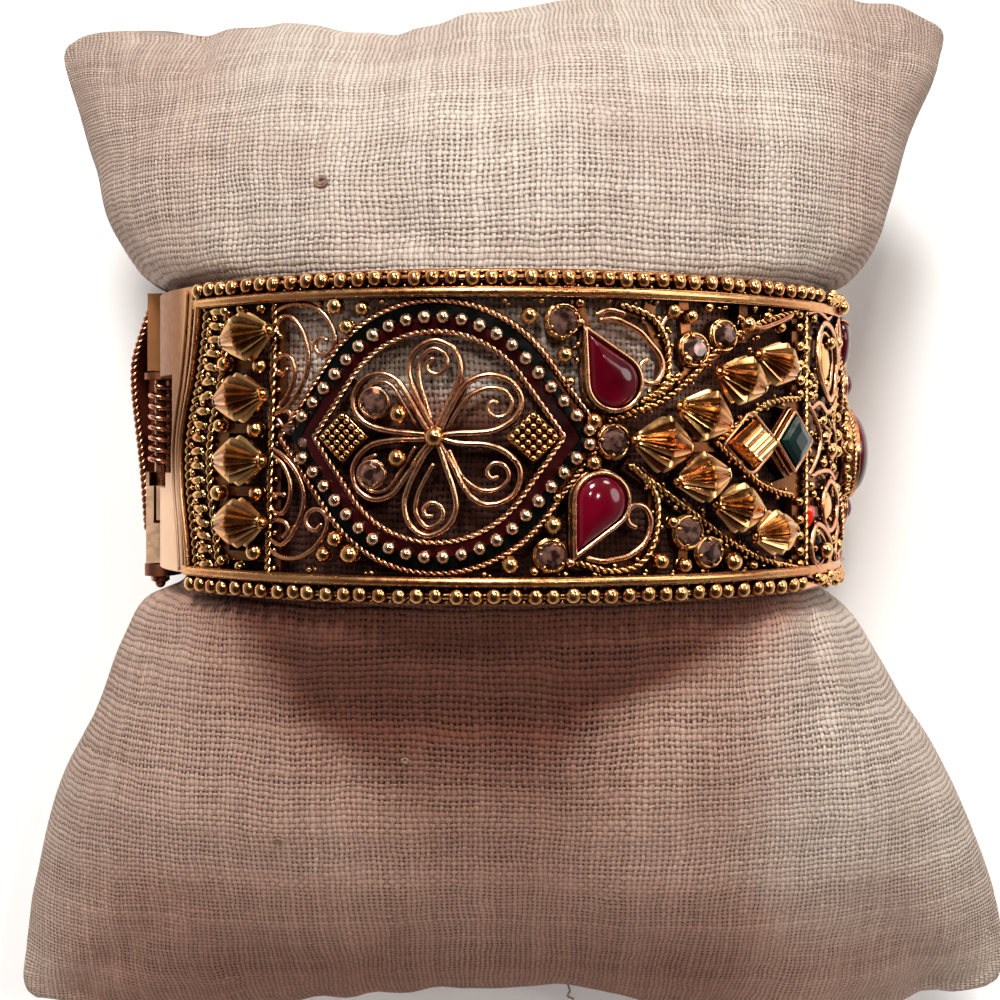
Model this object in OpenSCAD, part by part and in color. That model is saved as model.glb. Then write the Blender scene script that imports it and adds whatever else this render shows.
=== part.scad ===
// Hinged oval clamper bracelet in openwork metal, lying around a stuffed linen display pillow.
// Millimetres, +Z up, the pillow's flat underside on z = 0, the arm's direction along Y.

/* [Band] */
// Half width of the band's outer oval, from the centre to the hinge side
band_half_w = 33; // [28:0.5:38]
// Half depth of the band's outer oval, from the centre to the front face
band_half_d = 26; // [22:0.5:30]
// Radius of the small arcs at the two ends of the oval
end_arc_r = 20.5; // [16:0.5:21.5]
// Wall thickness of the side rails, measured outwards from the wrist
wall_t = 1.8; // [1.4:0.1:2.4]
// Distance from the middle of the band to the outer edge of each side rail
rail_v = 13.6; // [12.8:0.1:15]
// Gap between the two halves where they meet
split_gap = 0.3; // [0.2:0.05:0.6]

/* [Hinge] */
// Radius of the hinge knuckles
knuckle_r = 1.5; // [1.3:0.05:1.8]
// Radius of the hinge pin
pin_r = 0.55; // [0.45:0.05:0.7]
// Running clearance around the hinge pin
pin_clear = 0.05; // [0.03:0.01:0.08]
// Outer radius of the closing spring
spring_r = 1.3; // [1:0.05:1.4]
// Length of the plain hinge leaves around the band
leaf_len = 14.6; // [8:0.2:15]

/* [Front pattern] */
// Middle of the eye medallion, measured around the band from the hinge
eye_u = 41.1; // [40:0.1:42]
// Largest radius of the fluted beads in the column near the hinge
left_bead_r = 2.15; // [1.8:0.05:2.3]
// Largest radius of the fluted beads near the clasp
right_bead_r = 2.4; // [1.8:0.05:2.45]
// Radius of the round end of the teardrop stones
drop_r = 2.1; // [1.6:0.05:2.3]
// Radius of the round stone at the middle of the clasp ornament
cabochon_r = 3.9; // [3:0.1:4.2]

/* [Pillow] */
// Half width of the pillow at its lower corners
pillow_half = 50; // [46:0.5:54]
// Height of the pillow where it bulges beside the band
pillow_h = 49.5; // [40:0.5:52]

/* [Placing] */
// Sideways place of the band's centre on the pillow
band_x = -1.2; // [-3:0.1:3]
// Lengthwise place of the band's centre on the pillow
band_y = 5.6; // [0:0.1:8]
// Height of the band's centre above the floor
band_z = 27.5; // [27:0.1:30]

/* [Hidden] */
$fn = 96;
e = 0.02;
A = band_half_w;
B = band_half_d;
R1 = end_arc_r;
R2 = (A*A + B*B - 2*A*R1) / (2*(B - R1));
CX = A - R1;
CZ = R2 - B;
TH = atan2(CX, CZ);
S1 = R1*(90 - TH)*PI/180;
S2 = R2*TH*PI/180;
Q = S1 + S2;
G = split_gap/2;
bore_r = pin_r + pin_clear;
in_h = -wall_t;
sh0 = -wall_t + 0.2;      // inner face of the openwork
sh1 = -wall_t + 0.95;     // outer face of the openwork
k_gap = 0.15;

// spans along Y, relative to the band's middle: round knuckles of the back half, boxes of the front half, spring
K_BACK = [[5.65, 6.45], [-13.3, -12.15]];
K_FRONT = [[6.6, 14.1, 0.9], [-12.0, -4.55, 1.05]];
K_SPRING = [-2.85, 5.5];
// bowed edge between the plain leaf and the granule strip: distance around the band, place along the arm
EDGE = [[15.3, -12.1], [14.9, -8.6], [14.1, -5], [13.8, -2], [14.0, 0], [14.6, 2], [15.7, 5], [16.4, 8], [16.8, 10.6], [17.1, 13.7]];
// outer edge of the bowed guard beside the hinge, in the X-Y plane
GUARD = [[-34.7, 13.5], [-35.5, 11.2], [-36.3, 8.6], [-36.55, 6.8], [-36.45, 4.2], [-36.0, 0.2], [-35.6, -3.6], [-35.35, -7.0], [-35.2, -9.0]];

// fluted beads of the left column: distance around the band, place along the arm, turn
LEFT_BEADS = [[24.3, 8.5, 9], [23.6, 3.35, 6], [23.5, -1.95, 0], [23.5, -7.2, 3]];
// fluted beads of the arrow-shaped group: distance around the band, place along the arm, turn, radius compared with the largest
RIGHT_BEADS = [[59.9, -0.6, -8, 1], [63.8, 1.8, -16, 0.95], [63.6, -3.3, 6, 0.9], [67.6, 4.8, -14, 0.9], [67.3, -5.9, -8, 0.9],
  [71.8, 6.3, -16, 0.82], [71.5, -8.1, 5, 0.83]];
// teardrop stones: place of the round end, and the turn of the tip from the arm's direction
DROPS = [[55.9, 4.45, 30], [54.8, -5.2, 153]];
// round seats of the small clear stones
SEATS = [[51.7, 9.4], [50.7, -9.6], [56.2, -0.35], [63.5, 7.3], [66.6, 8.55], [62.9, -7.85], [65.0, -9.6]];
// strips: start, end, width
BARS = [
  [57.4, -2.3, 64.8, -7.3, 1.1], [64.8, -7.3, 70.9, -10.3, 1.1], [70.9, -10.3, 76.2, -11.6, 1.1],
  [55.6, 1.4, 60.4, 3.1, 1.1], [60.4, 3.1, 67.0, 8.1, 1.1], [67.0, 8.1, 76.2, 11.2, 1.1],
  [56.6, 10.8, 59.2, 9.95, 0.9], [59.2, 9.95, 60.8, 6.6, 0.9], [60.8, 6.6, 60.4, 3.6, 0.9],
  [52.7, -10.3, 58.0, -10.6, 0.9], [58.0, -10.6, 59.8, -8.4, 0.9], [59.8, -8.4, 59.7, -4.0, 0.9],
  [59.2, 9.6, 59.6, 11.8, 1.0], [69.0, 8.4, 69.2, 11.8, 1.0], [57.4, -10.4, 57.4, -11.8, 1.0],
  [67.2, -8.2, 67.2, -11.8, 1.0], [63.2, 5.0, 62.6, 11.8, 0.9], [62.9, -6.0, 62.4, -11.8, 0.9],
  [53.8, 8.6, 52.6, 11.8, 0.9], [65.8, -0.8, 62.0, -0.8, 0.8],
  [20.2, 6.2, 26.2, 6.2, 0.8], [20.2, 0.8, 26.2, 0.8, 0.8], [20.2, -4.6, 26.2, -4.6, 0.8], [20.2, -10.1, 26.2, -10.1, 0.8]
];
PETALS = [[89.8, 5.52, 2.2, 5.24], [32.15, 5.29, 2.36, 5.05], [-34.45, 5.53, 2.33, 5.19], [-93.9, 5.61, 2.25, 5.53], [-149.4, 5.47, 2.24, 5.25], [147.45, 5.46, 2.22, 5.2]];

// ---- placing ----
module ring() translate([band_x, band_y, band_z]) children();

// a flat outline drawn in the X-Z plane of the band, pulled along Y from v0 to v1
module slab(v0, v1) rotate([90, 0, 0]) translate([0, 0, -v1]) linear_extrude(v1 - v0) children();

function ang(u) = u < S1 ? -90 + u/R1*180/PI : u < Q + S2 ? (u - Q)/R2*180/PI : 90 - (2*Q - u)/R1*180/PI;
function cen(u) = u < S1 ? [-CX, 0] : u < Q + S2 ? [0, -CZ] : [CX, 0];
function rad(u) = u < S1 || u >= Q + S2 ? R1 : R2;

// stands children on the band at distance u from the hinge, local Z outwards, local Y along the arm
module at(u, v = 0, h = 0)
  translate([cen(u)[0] + (rad(u) + h)*sin(ang(u)), v, cen(u)[1] + (rad(u) + h)*cos(ang(u))])
    rotate([0, ang(u), 0]) children();

// the four-arc oval, grown outwards by h
module oval2(h) {
  xc = R2*sin(TH) - 1.2;
  intersection() {
    translate([0, -CZ]) circle(r = R2 + h);
    translate([0, CZ]) circle(r = R2 + h);
    translate([-xc, -40]) square([2*xc, 80]);
  }
  for (s = [1, -1]) translate([s*CX, 0]) circle(r = R1 + h);
}

function spot(u, h) = [cen(u)[0] + (rad(u) + h)*sin(ang(u)), cen(u)[1] + (rad(u) + h)*cos(ang(u))];

// area around the wall between distances u0 and u1
module zone2(u0, u1) {
  n = ceil((u1 - u0)/6);
  polygon(concat([for (i = [0:n]) spot(u0 + (u1 - u0)*i/n, 5)], [for (i = [n:-1:0]) spot(u0 + (u1 - u0)*i/n, -6)]));
}

// part of the wall between heights h0 and h1, distances u0 and u1, and v0 and v1 along the arm
module wall(v0, v1, h0, h1, u0, u1) slab(v0, v1) intersection() {
  difference() {
    oval2(h1);
    oval2(h0);
  }
  zone2(u0, u1);
}

// ---- outlines ----
module eye2(r, t) {
  f = acos(r/t);
  q = 0.985*r;
  circle(r = r);
  polygon([[t, 0], [q*cos(f), q*sin(f)], [0, 0], [q*cos(f), -q*sin(f)]]);
  polygon([[-t, 0], [-q*cos(f), q*sin(f)], [0, 0], [-q*cos(f), -q*sin(f)]]);
}

// round end of radius r on the origin, tip at distance t along +Y
module drop2(r, t) {
  f = asin(r/t);
  n = 30;
  polygon(concat([[0, t]], [for (i = [0:n]) let (w = f - i*(180 + 2*f)/n) [r*cos(w), r*sin(w)]]));
}

module bar2(x0, y0, x1, y1, w) {
  l = norm([x1 - x0, y1 - y0]);
  translate([x0, y0]) rotate(atan2(y1 - y0, x1 - x0)) translate([-0.3, -w/2]) square([l + 0.6, w]);
}

module diamond2(a, b) polygon([[a, 0], [0, b], [-a, 0], [0, -b]]);

module ring2(r, t) difference() {
  circle(r = r);
  circle(r = r - t);
}

module post(h0, h1) translate([0, 0, h0]) linear_extrude(h1 - h0) children();

// flower of six looped petals inside the medallion, between heights h0 and h1
module flower(h0, h1) {
  post(h0, h1) circle(r = 1.05);
  for (p = PETALS) rotate(p[0] + 90) {
    translate([0, -p[1], 0]) difference() {
      post(h0, h1) drop2(p[2] + 0.17, p[3]*(1 + 0.17/p[2]));
      post(h0 - 1, h1 + 1) drop2(p[2] - 0.17, p[3]*(1 - 0.17/p[2]));
    }
    post(h0, h1) translate([-0.35, -8.95]) square([0.7, 1.3]);
  }
  for (s = [1, -1]) post(h0, h1) {
    translate([s*7.9, 0]) diamond2(2.35, 2.2);
    translate([s*10.5 - 0.8, -0.45]) square([1.6, 0.9]);
  }
}

// ---- the two halves ----
// side rails: start of the upper one, start of the lower one, end
module rails(ut, ub, u1) {
  wall(rail_v - 2.3, rail_v - 1.5, in_h, 0, ut, u1);
  wall(1.5 - rail_v, 2.3 - rail_v, in_h, 0, ub, u1);
  wall(rail_v - 1.55, rail_v, in_h + 0.05, in_h + 0.8, ut, u1);
  wall(-rail_v, 1.55 - rail_v, in_h + 0.05, in_h + 0.8, ub, u1);
}

// the pin's axis: everything round in the hinge is drawn along it, between v0 and v1
module on_pin(v0, v1, r) translate([-A, v1, 0]) rotate([90, 0, 0]) cylinder(r = r, h = v1 - v0);

module front_leaf() difference() {
  union() {
    intersection() {
      union() wall(-12, 13.4, in_h + 0.1, in_h + 1.3, G, 18);
      at(15.5) post(-13, 3) polygon(concat([[-26, -12.6]], [for (p = EDGE) [p[0] - 15.5 + 0.1, p[1]]], [[-26, 13.9]]));
    }
    for (k = K_FRONT) translate([-A - k[2], k[0], -1.1]) cube([1.6 + k[2], k[1] - k[0], 2.6]);
    // narrow side of the window next to the spring
    translate([-A - 1.05, -4.8, -1.1]) cube([0.3, 1.6, 2.6]);
  }
  // window that shows the spring
  translate([-A - 0.7, -3.15, -2]) cube([5.4, 8.95, 12.5]);
  translate([-A - 0.7, -4.55, -2]) cube([4.6, 2, 10.6]);
  translate([-A - 2.5, -3.15, -2]) cube([2.2, 8.95, 8.6]);
  // stepped slots between the folded plates
  translate([-A + 0.85, 10.9, 0.8]) cube([0.72, 4, 2]);
  translate([-A + 0.6, 6, 0.8]) cube([0.75, 4.4, 2]);
  translate([-A + 0.6, 10.4, 1.2]) cube([1.5, 0.18, 2]);
  translate([-A - 0.3, -7.9, 0.8]) cube([0.26, 3.6, 2]);
  translate([-A - 0.3, -8.15, 0.8]) cube([1.45, 0.3, 2]);
  translate([-A + 0.5, -12.5, 0.8]) cube([0.65, 4.5, 2]);
  for (k = K_BACK) on_pin(k[0] - k_gap, k[1] + k_gap, knuckle_r + k_gap);
  on_pin(-14, 13.5, bore_r);
}

// upright strip along the bowed edge
module edge_strip() intersection() {
  union() wall(-11.95, 11.95, in_h + 0.02, -0.1, 13, 18.6);
  at(15.5) post(-3, 3) polygon(concat([for (p = EDGE) [p[0] - 15.6, p[1]]], [for (i = [len(EDGE) - 1:-1:0]) [EDGE[i][0] - 14.85, EDGE[i][1]]]));
}

module back_leaf() difference() {
  union() {
    wall(-12, 12, in_h + 0.1, in_h + 1.3, G, leaf_len);
    // stub under the hinge
    wall(-13.3, -12.15, in_h + 0.12, -0.3, G, leaf_len - 0.3);
    wall(-12.4, -11.8, in_h + 0.12, -0.3, 3, leaf_len - 0.3);
    for (k = K_BACK) on_pin(k[0], k[1], knuckle_r);
  }
  for (k = K_FRONT) on_pin(k[0] - k_gap, k[1] + k_gap, 2.25);
  on_pin(-5, K_SPRING[1] + 0.3, spring_r + 0.2);
  on_pin(-14, 14, bore_r);
}

// bowed guard beside the hinge, with the plate that carries it
module guard() {
  n = len(GUARD);
  translate([0, 0, 3]) linear_extrude(4.5)
    polygon(concat(GUARD, [for (i = [n - 1:-1:0]) [GUARD[i][0] + 0.6, GUARD[i][1] - 0.05]]));
  translate([0, 0, 6.8]) linear_extrude(0.7)
    polygon(concat(GUARD, [[-30.6, -9.0], [-30.6, 11.8], [-34.4, 13.5]]));
}

module openwork() {
  // medallion rim
  at(eye_u) post(-3, 1) difference() {
    eye2(11.4, 13.9);
    eye2(8.55, 10.45);
  }
  at(eye_u) flower(-3, 1);
  // end strips across the band
  at(17.6) post(-3, 1) polygon(concat([for (p = EDGE) [p[0] - 17.9, p[1]]], [[2.9, 13.7], [2.9, -12.1]]));
  at(26.2) post(-3, 1) translate([-0.55, -12]) square([1.1, 24]);
  at(76.4) post(-3, 1) translate([-0.6, -12]) square([2.0, 24]);
  for (b = BARS) {
    m = (b[0] + b[2])/2;
    at(m) post(-3, 1) bar2(b[0] - m, b[1], b[2] - m, b[3], b[4]);
  }
  for (s = SEATS) at(s[0], s[1]) post(-3, 1) ring2(1.45, 0.75);
  for (d = DROPS) at(d[0], d[1]) post(-3, 1) rotate(d[2]) drop2(drop_r + 0.45, 5.5);
  // leaf-shaped plate that carries the stud and the square stone
  at(70.9) post(-3, 1) difference() {
    polygon([[-5.4, -0.4], [0.3, 3.0], [5.6, 3.9], [5.6, -5.3], [-0.3, -4.1]]);
    polygon([[-1.2, 1.75], [1.3, 0], [3.6, 2.5], [2.2, 2.75], [0.4, 2.4]]);
    polygon([[-1.0, -2.75], [1.2, -1.1], [3.7, -3.5], [1.8, -3.9], [-0.3, -3.55]]);
  }
}

module front_frame() color("#c98f3c") ring() {
  front_leaf();
  rails(16.4, leaf_len, 2*Q - G);
  edge_strip();
  intersection() {
    union() wall(-11.9, 11.9, sh0, sh1, 13.2, 78.4);
    union() openwork();
  }
  // plain plate under the clasp ornament
  wall(-11.6, 11.6, sh0 + 0.03, sh1 + 0.03, 77.2, 2*Q - G);
  // settings of the teardrop stones
  for (d = DROPS) at(d[0], d[1]) rotate(d[2]) post(sh1 - 0.4, 0.15) difference() {
    drop2(drop_r + 0.4, 5.4);
    drop2(drop_r + 0.06, 4.75);
  }
  // setting of the square stone
  at(75.3, -0.3) post(sh1 - 0.35, -0.3) difference() {
    diamond2(2.75, 2.75);
    diamond2(2.3, 2.3);
  }
  // ornament that hides the split: middle disc with its setting, bar, seats of the small stones, end plates, neck
  translate([A - 0.3, -1.36, -0.2]) rotate([0, 90, 0]) cylinder(r = cabochon_r + 0.6, h = 1.15);
  translate([A + 0.75, -1.36, -0.2]) rotate([0, 90, 0]) difference() {
    cylinder(r = cabochon_r + 0.42, h = 0.75);
    translate([0, 0, -1]) cylinder(r = cabochon_r + 0.06, h = 3);
  }
  translate([A - 0.25, -10.4, -1.3]) cube([0.55, 20.8, 2.6]);
  for (y = [5.3, -6.7]) translate([A - 0.2, y, 0.2]) rotate([0, 90, 0]) cylinder(r = 1.5, h = 0.75);
  translate([A + 0.15, 9.6, 0.5]) rotate([0, 90, 0]) cylinder(r = 2.2, h = 0.4);
  translate([A + 0.15, -10.0, -1.6]) rotate([0, 90, 0]) cylinder(r = 2.1, h = 0.4);
  translate([A - 1.5, -4.6, 0.4]) cube([1.4, 6.4, 2.6]);
}

module back_frame() color("#b9822f") ring() mirror([0, 0, 1]) {
  back_leaf();
  guard();
  rails(leaf_len - 0.2, leaf_len - 0.2, 2*Q - G);
  // raised medallion next to the hinge, with its rim standing on the band
  at(18.6) post(1.15, 1.85) difference() {
    eye2(11.0, 13.0);
    eye2(8.55, 10.2);
  }
  at(18.6) flower(1.2, 1.8);
  at(18.6) post(-1.2, 2.3) difference() {
    eye2(11.5, 13.6);
    eye2(10.9, 12.9);
  }
  at(8.4) post(-1.2, 3.7) translate([-0.6, -5]) square([1.2, 10]);
  intersection() {
    union() wall(-11.9, 11.9, sh0, sh1, 12, 38);
    union() {
      at(18.6) post(-4, 1) difference() {
        eye2(11.6, 13.7);
        eye2(8.55, 10.2);
      }
      for (s = [1, -1]) at(14.6) post(-4, 1) translate([-1, s > 0 ? 8.5 : -11.8]) square([2, 3.3]);
    }
  }
  // plain plate over the rest of the underside
  wall(-11.6, 11.6, sh0 + 0.03, sh1 + 0.03, 29.6, 2*Q - G);
}

// ---- hinge parts ----
module hinge_pin() color("#d8a75a") ring() {
  on_pin(-13.6, 13.3, pin_r);
  on_pin(-13.8, -13.4, 0.9);
}

module hinge_spring() color("#c7954a") ring() difference() {
  on_pin(K_SPRING[0], K_SPRING[1], spring_r);
  on_pin(K_SPRING[0] - 1, K_SPRING[1] + 1, 0.62);
}

// ---- enamel and stones ----
// the same outline as eye2, as one polygon
module lens2(r, t) {
  f = acos(r/t);
  n = 24;
  polygon(concat([[t, 0]], [for (i = [0:n]) let (w = f + i*(180 - 2*f)/n) [r*cos(w), r*sin(w)]],
    [[-t, 0]], [for (i = [0:n]) let (w = f + i*(180 - 2*f)/n) [-r*cos(w), -r*sin(w)]]));
}

module enamel2(outer) difference() {
  lens2(outer ? 10.7 : 9.75, outer ? 12.45 : 11.6);
  lens2(outer ? 9.85 : 8.8, outer ? 11.7 : 10.5);
}

module front_enamel(outer) color(outer ? "#0b1f18" : "#4a0a10") ring() intersection() {
  union() wall(-11.2, 11.2, sh1 + 0.05, sh1 + 0.3, 25, 58);
  at(eye_u) post(-4, 2) enamel2(outer);
}

module back_enamel(outer) color(outer ? "#0b1f18" : "#4a0a10") ring() mirror([0, 0, 1])
  at(18.6) post(1.9, 2.15) enamel2(outer);

module front_eye_enamel_outer() front_enamel(true);
module front_eye_enamel_inner() front_enamel(false);
module back_eye_enamel_outer() back_enamel(true);
module back_eye_enamel_inner() back_enamel(false);

module fluted_bead(p, r, s) color("#d59a45") ring() at(p[0], p[1], 0.65) rotate(p[2]) rotate([0, 90*s, 0]) {
  translate([0, 0, -2.55]) cylinder(r1 = 0.45, r2 = r, h = 2.55);
  cylinder(r1 = r, r2 = 0.7, h = s > 0 ? 2.3 : 2.6);
}

module fluted_bead_left_1() fluted_bead(LEFT_BEADS[0], left_bead_r, -1);
module fluted_bead_left_2() fluted_bead(LEFT_BEADS[1], left_bead_r, -1);
module fluted_bead_left_3() fluted_bead(LEFT_BEADS[2], left_bead_r, -1);
module fluted_bead_left_4() fluted_bead(LEFT_BEADS[3], left_bead_r, -1);
module fluted_bead_right_1() fluted_bead(RIGHT_BEADS[0], right_bead_r*RIGHT_BEADS[0][3], 1);
module fluted_bead_right_2() fluted_bead(RIGHT_BEADS[1], right_bead_r*RIGHT_BEADS[1][3], 1);
module fluted_bead_right_3() fluted_bead(RIGHT_BEADS[2], right_bead_r*RIGHT_BEADS[2][3], 1);
module fluted_bead_right_4() fluted_bead(RIGHT_BEADS[3], right_bead_r*RIGHT_BEADS[3][3], 1);
module fluted_bead_right_5() fluted_bead(RIGHT_BEADS[4], right_bead_r*RIGHT_BEADS[4][3], 1);
module fluted_bead_right_6() fluted_bead(RIGHT_BEADS[5], right_bead_r*RIGHT_BEADS[5][3], 1);
module fluted_bead_right_7() fluted_bead(RIGHT_BEADS[6], right_bead_r*RIGHT_BEADS[6][3], 1);

module teardrop_stone(d) color("#6e0c14") ring() at(d[0], d[1]) rotate(d[2]) intersection() {
  post(sh1 + 0.15, 2) drop2(drop_r, 4.6);
  translate([0, 0.8, -5.2]) sphere(r = 6);
}
module teardrop_stone_upper() teardrop_stone(DROPS[0]);
module teardrop_stone_lower() teardrop_stone(DROPS[1]);

module square_stone() color("#0d332e") ring() at(75.3, -0.3) {
  post(sh1 + 0.15, 0.1) diamond2(2.2, 2.2);
  post(0.05, 0.55) diamond2(1.5, 1.5);
}

module ridged_stud() color("#d9a044") ring() at(69.5, -0.5) {
  post(sh1 + 0.15, 0.3) diamond2(2.5, 2.0);
  post(0.25, 0.8) diamond2(1.9, 1.5);
}

module center_cabochon() color("#6e0c14") ring() intersection() {
  hc = 2.2;
  rs = (cabochon_r*cabochon_r + hc*hc)/(2*hc);
  translate([A + 0.9, -10, -10]) cube([5, 20, 20]);
  translate([A + 0.9 + hc - rs, -1.36, -0.2]) sphere(r = rs);
}

// ---- pillow ----
// sections along the arm: place, middle, half width, underside, top, roundness, bow of the section
SECT = [
  [-50.0, 0.0, 49.2, 19.0, 21.4, 2.0, 0.0],
  [-48.6, 0.0, 50.0, 16.6, 24.4, 2.0, 0.6],
  [-45.0, 0.0, 49.2, 11.4, 30.2, 1.9, 1.2],
  [-40.0, -0.2, 47.8, 5.8, 36.6, 1.9, 1.6],
  [-34.0, -0.6, 46.4, 1.2, 42.4, 1.9, 1.6],
  [-28.0, -0.9, 44.2, -0.9, 46.4, 1.9, 1.2],
  [-22.0, -1.1, 41.6, -1.2, pillow_h - 0.8, 1.95, 0.8],
  [-16.0, -1.2, 38.4, -0.6, pillow_h, 2.0, 0.4],
  [-11.5, -1.2, 34.6, 1.2, pillow_h, 2.0, 0],
  [-9.2, -1.2, 31.6, 3.2, pillow_h + 0.8, 2.0, 0],
  [-7.8, -1.2, 30.6, 4.0, 51.0, 2.0, 0],
  [5.6, -1.2, 30.4, 4.1, 50.9, 2.0, 0],
  [19.0, -1.2, 30.6, 4.0, 51.0, 2.0, 0],
  [20.4, -1.2, 31.4, 3.2, pillow_h + 0.8, 2.0, 0],
  [23.0, -1.1, 34.4, 1.2, pillow_h, 2.0, 0],
  [28.0, -0.9, 37.4, -0.8, pillow_h - 1, 2.0, 0.6],
  [34.0, -0.6, 39.8, -0.6, 44.6, 1.9, 1.4],
  [39.0, -0.3, 41.6, 3.4, 38.6, 1.9, 2.0],
  [43.2, 0.0, 43.2, 9.6, 31.6, 1.9, 2.6],
  [46.2, 0.2, 44.2, 15.4, 25.6, 2.0, 2.8],
  [47.4, 0.3, 43.6, 18.8, 21.6, 2.0, 2.6]
];
function sp(x, p) = sign(x)*pow(abs(x), p);
function outline(s, n) = [for (i = [0:n - 1])
  let (t = 360*i/n, cx = sp(cos(t), 2/s[5]), cz = sp(sin(t), 2/s[5]),
       z = (s[3] + s[4])/2 + (s[4] - s[3])/2*cz)
  [s[1] + s[2]*cx*pillow_half/50, s[0] + s[6]*(1 - cx*cx), max(0, z)]];

module display_pillow() color("#c9b6a6") {
  n = 44;
  m = len(SECT);
  pts = [for (s = SECT) for (p = outline(s, n)) p];
  sides = [for (j = [0:m - 2]) for (i = [0:n - 1]) let (a = j*n + i, b = j*n + (i + 1)%n)
    each [[a, a + n, b], [b, a + n, b + n]]];
  c0 = [for (i = [1:n - 2]) [0, i, i + 1]];
  c1 = [for (i = [1:n - 2]) [(m - 1)*n, (m - 1)*n + i + 1, (m - 1)*n + i]];
  polyhedron(points = pts, faces = concat(sides, c0, c1), convexity = 6);
}

front_frame();
back_frame();
hinge_pin();
hinge_spring();
front_eye_enamel_outer();
front_eye_enamel_inner();
back_eye_enamel_outer();
back_eye_enamel_inner();
fluted_bead_left_1();
fluted_bead_left_2();
fluted_bead_left_3();
fluted_bead_left_4();
fluted_bead_right_1();
fluted_bead_right_2();
fluted_bead_right_3();
fluted_bead_right_4();
fluted_bead_right_5();
fluted_bead_right_6();
fluted_bead_right_7();
teardrop_stone_upper();
teardrop_stone_lower();
square_stone();
ridged_stud();
center_cabochon();
display_pillow();
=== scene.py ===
"""Clamper bracelet on its display pillow: the looks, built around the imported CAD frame. Metres, +Z up."""
import math

import bpy
import numpy as np
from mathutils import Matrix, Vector


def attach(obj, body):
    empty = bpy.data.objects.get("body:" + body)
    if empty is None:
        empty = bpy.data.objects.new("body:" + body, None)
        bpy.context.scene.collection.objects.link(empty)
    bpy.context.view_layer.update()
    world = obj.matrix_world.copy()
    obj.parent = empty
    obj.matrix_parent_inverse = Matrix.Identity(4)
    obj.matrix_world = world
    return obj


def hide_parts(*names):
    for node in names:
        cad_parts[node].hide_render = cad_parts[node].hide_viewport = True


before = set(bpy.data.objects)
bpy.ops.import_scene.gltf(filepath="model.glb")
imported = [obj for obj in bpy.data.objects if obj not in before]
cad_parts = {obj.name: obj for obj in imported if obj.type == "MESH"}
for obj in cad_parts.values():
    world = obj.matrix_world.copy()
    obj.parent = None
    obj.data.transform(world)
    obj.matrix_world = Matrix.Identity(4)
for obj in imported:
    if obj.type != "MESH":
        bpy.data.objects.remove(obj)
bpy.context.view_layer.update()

PI = math.pi

# ------------------------------------------------------------------ the band's own coordinates (millimetres)
A, B, R1 = 33.0, 26.0, 20.5
R2 = (A * A + B * B - 2 * A * R1) / (2 * (B - R1))
CX, CZ = A - R1, R2 - B
TH = math.atan2(CX, CZ)
S1, S2 = R1 * (PI / 2 - TH), R2 * TH
Q = S1 + S2
BX, BY, BZ = -1.2, 5.6, 27.5
RAIL = 13.6
SH0, SH1 = -1.6, -0.85          # inner and outer face of the openwork
EYE_U = 41.1
BACK_EYE_U = 18.6
EDGE_V = [-12.1, -8.6, -5, -2, 0, 2, 5, 8, 10.6, 13.7]
EDGE_U = [15.3, 14.9, 14.1, 13.8, 14.0, 14.6, 15.7, 16.4, 16.8, 17.1]


def edge_u(v):
    """The bowed edge between the hinge leaf and the granule strip, eased."""
    v = np.asarray(v, float)
    return sum(np.interp(v + d, EDGE_V, EDGE_U) for d in (-1.2, -0.6, 0.0, 0.6, 1.2)) / 5


def angle(u):
    u = np.asarray(u, float)
    return np.where(u < S1, -PI / 2 + u / R1, np.where(u >= Q + S2, PI / 2 - (2 * Q - u) / R1, (u - Q) / R2))


def band(u, v, h=0.0, flip=1.0):
    """Points at distance u round the band from the hinge, v along the arm, h outwards. flip -1 is the back half."""
    u, v, h = np.broadcast_arrays(np.asarray(u, float), np.asarray(v, float), np.asarray(h, float))
    left, right = u < S1, u >= Q + S2
    a = angle(u)
    cx = np.where(left, -CX, np.where(right, CX, 0.0))
    cz = np.where(left | right, 0.0, -CZ)
    r = np.where(left | right, R1, R2) + h
    return np.stack([BX + cx + r * np.sin(a), BY + v, BZ + flip * (cz + r * np.cos(a))], -1)


def outward(u, flip=1.0):
    a = angle(u)
    return np.stack([np.sin(a), 0 * a, flip * np.cos(a)], -1)


def ortho(u0, flip=1.0):
    """Rows: along +u, along the arm, outwards, at distance u0."""
    a = float(angle(u0))
    return np.array([[math.cos(a), 0, -flip * math.sin(a)], [0, 1, 0], [math.sin(a), 0, flip * math.cos(a)]])


def plane(u0, pts, v0=0.0, h0=0.0, flip=1.0):
    """Points (x, y, z) of a flat piece standing on the band at u0."""
    return band(u0, v0, h0, flip) + np.asarray(pts, float) @ ortho(u0, flip)


def tang(u0, x, y, h, flip=1.0):
    """A flat drawing (x, y) seen from straight above u0, laid on the curved wall at height h."""
    x = np.asarray(x, float)
    u = u0 + R2 * np.arcsin(np.clip(x / (R2 + h), -1, 1))
    return band(u, y, h, flip), outward(u, flip)


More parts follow.
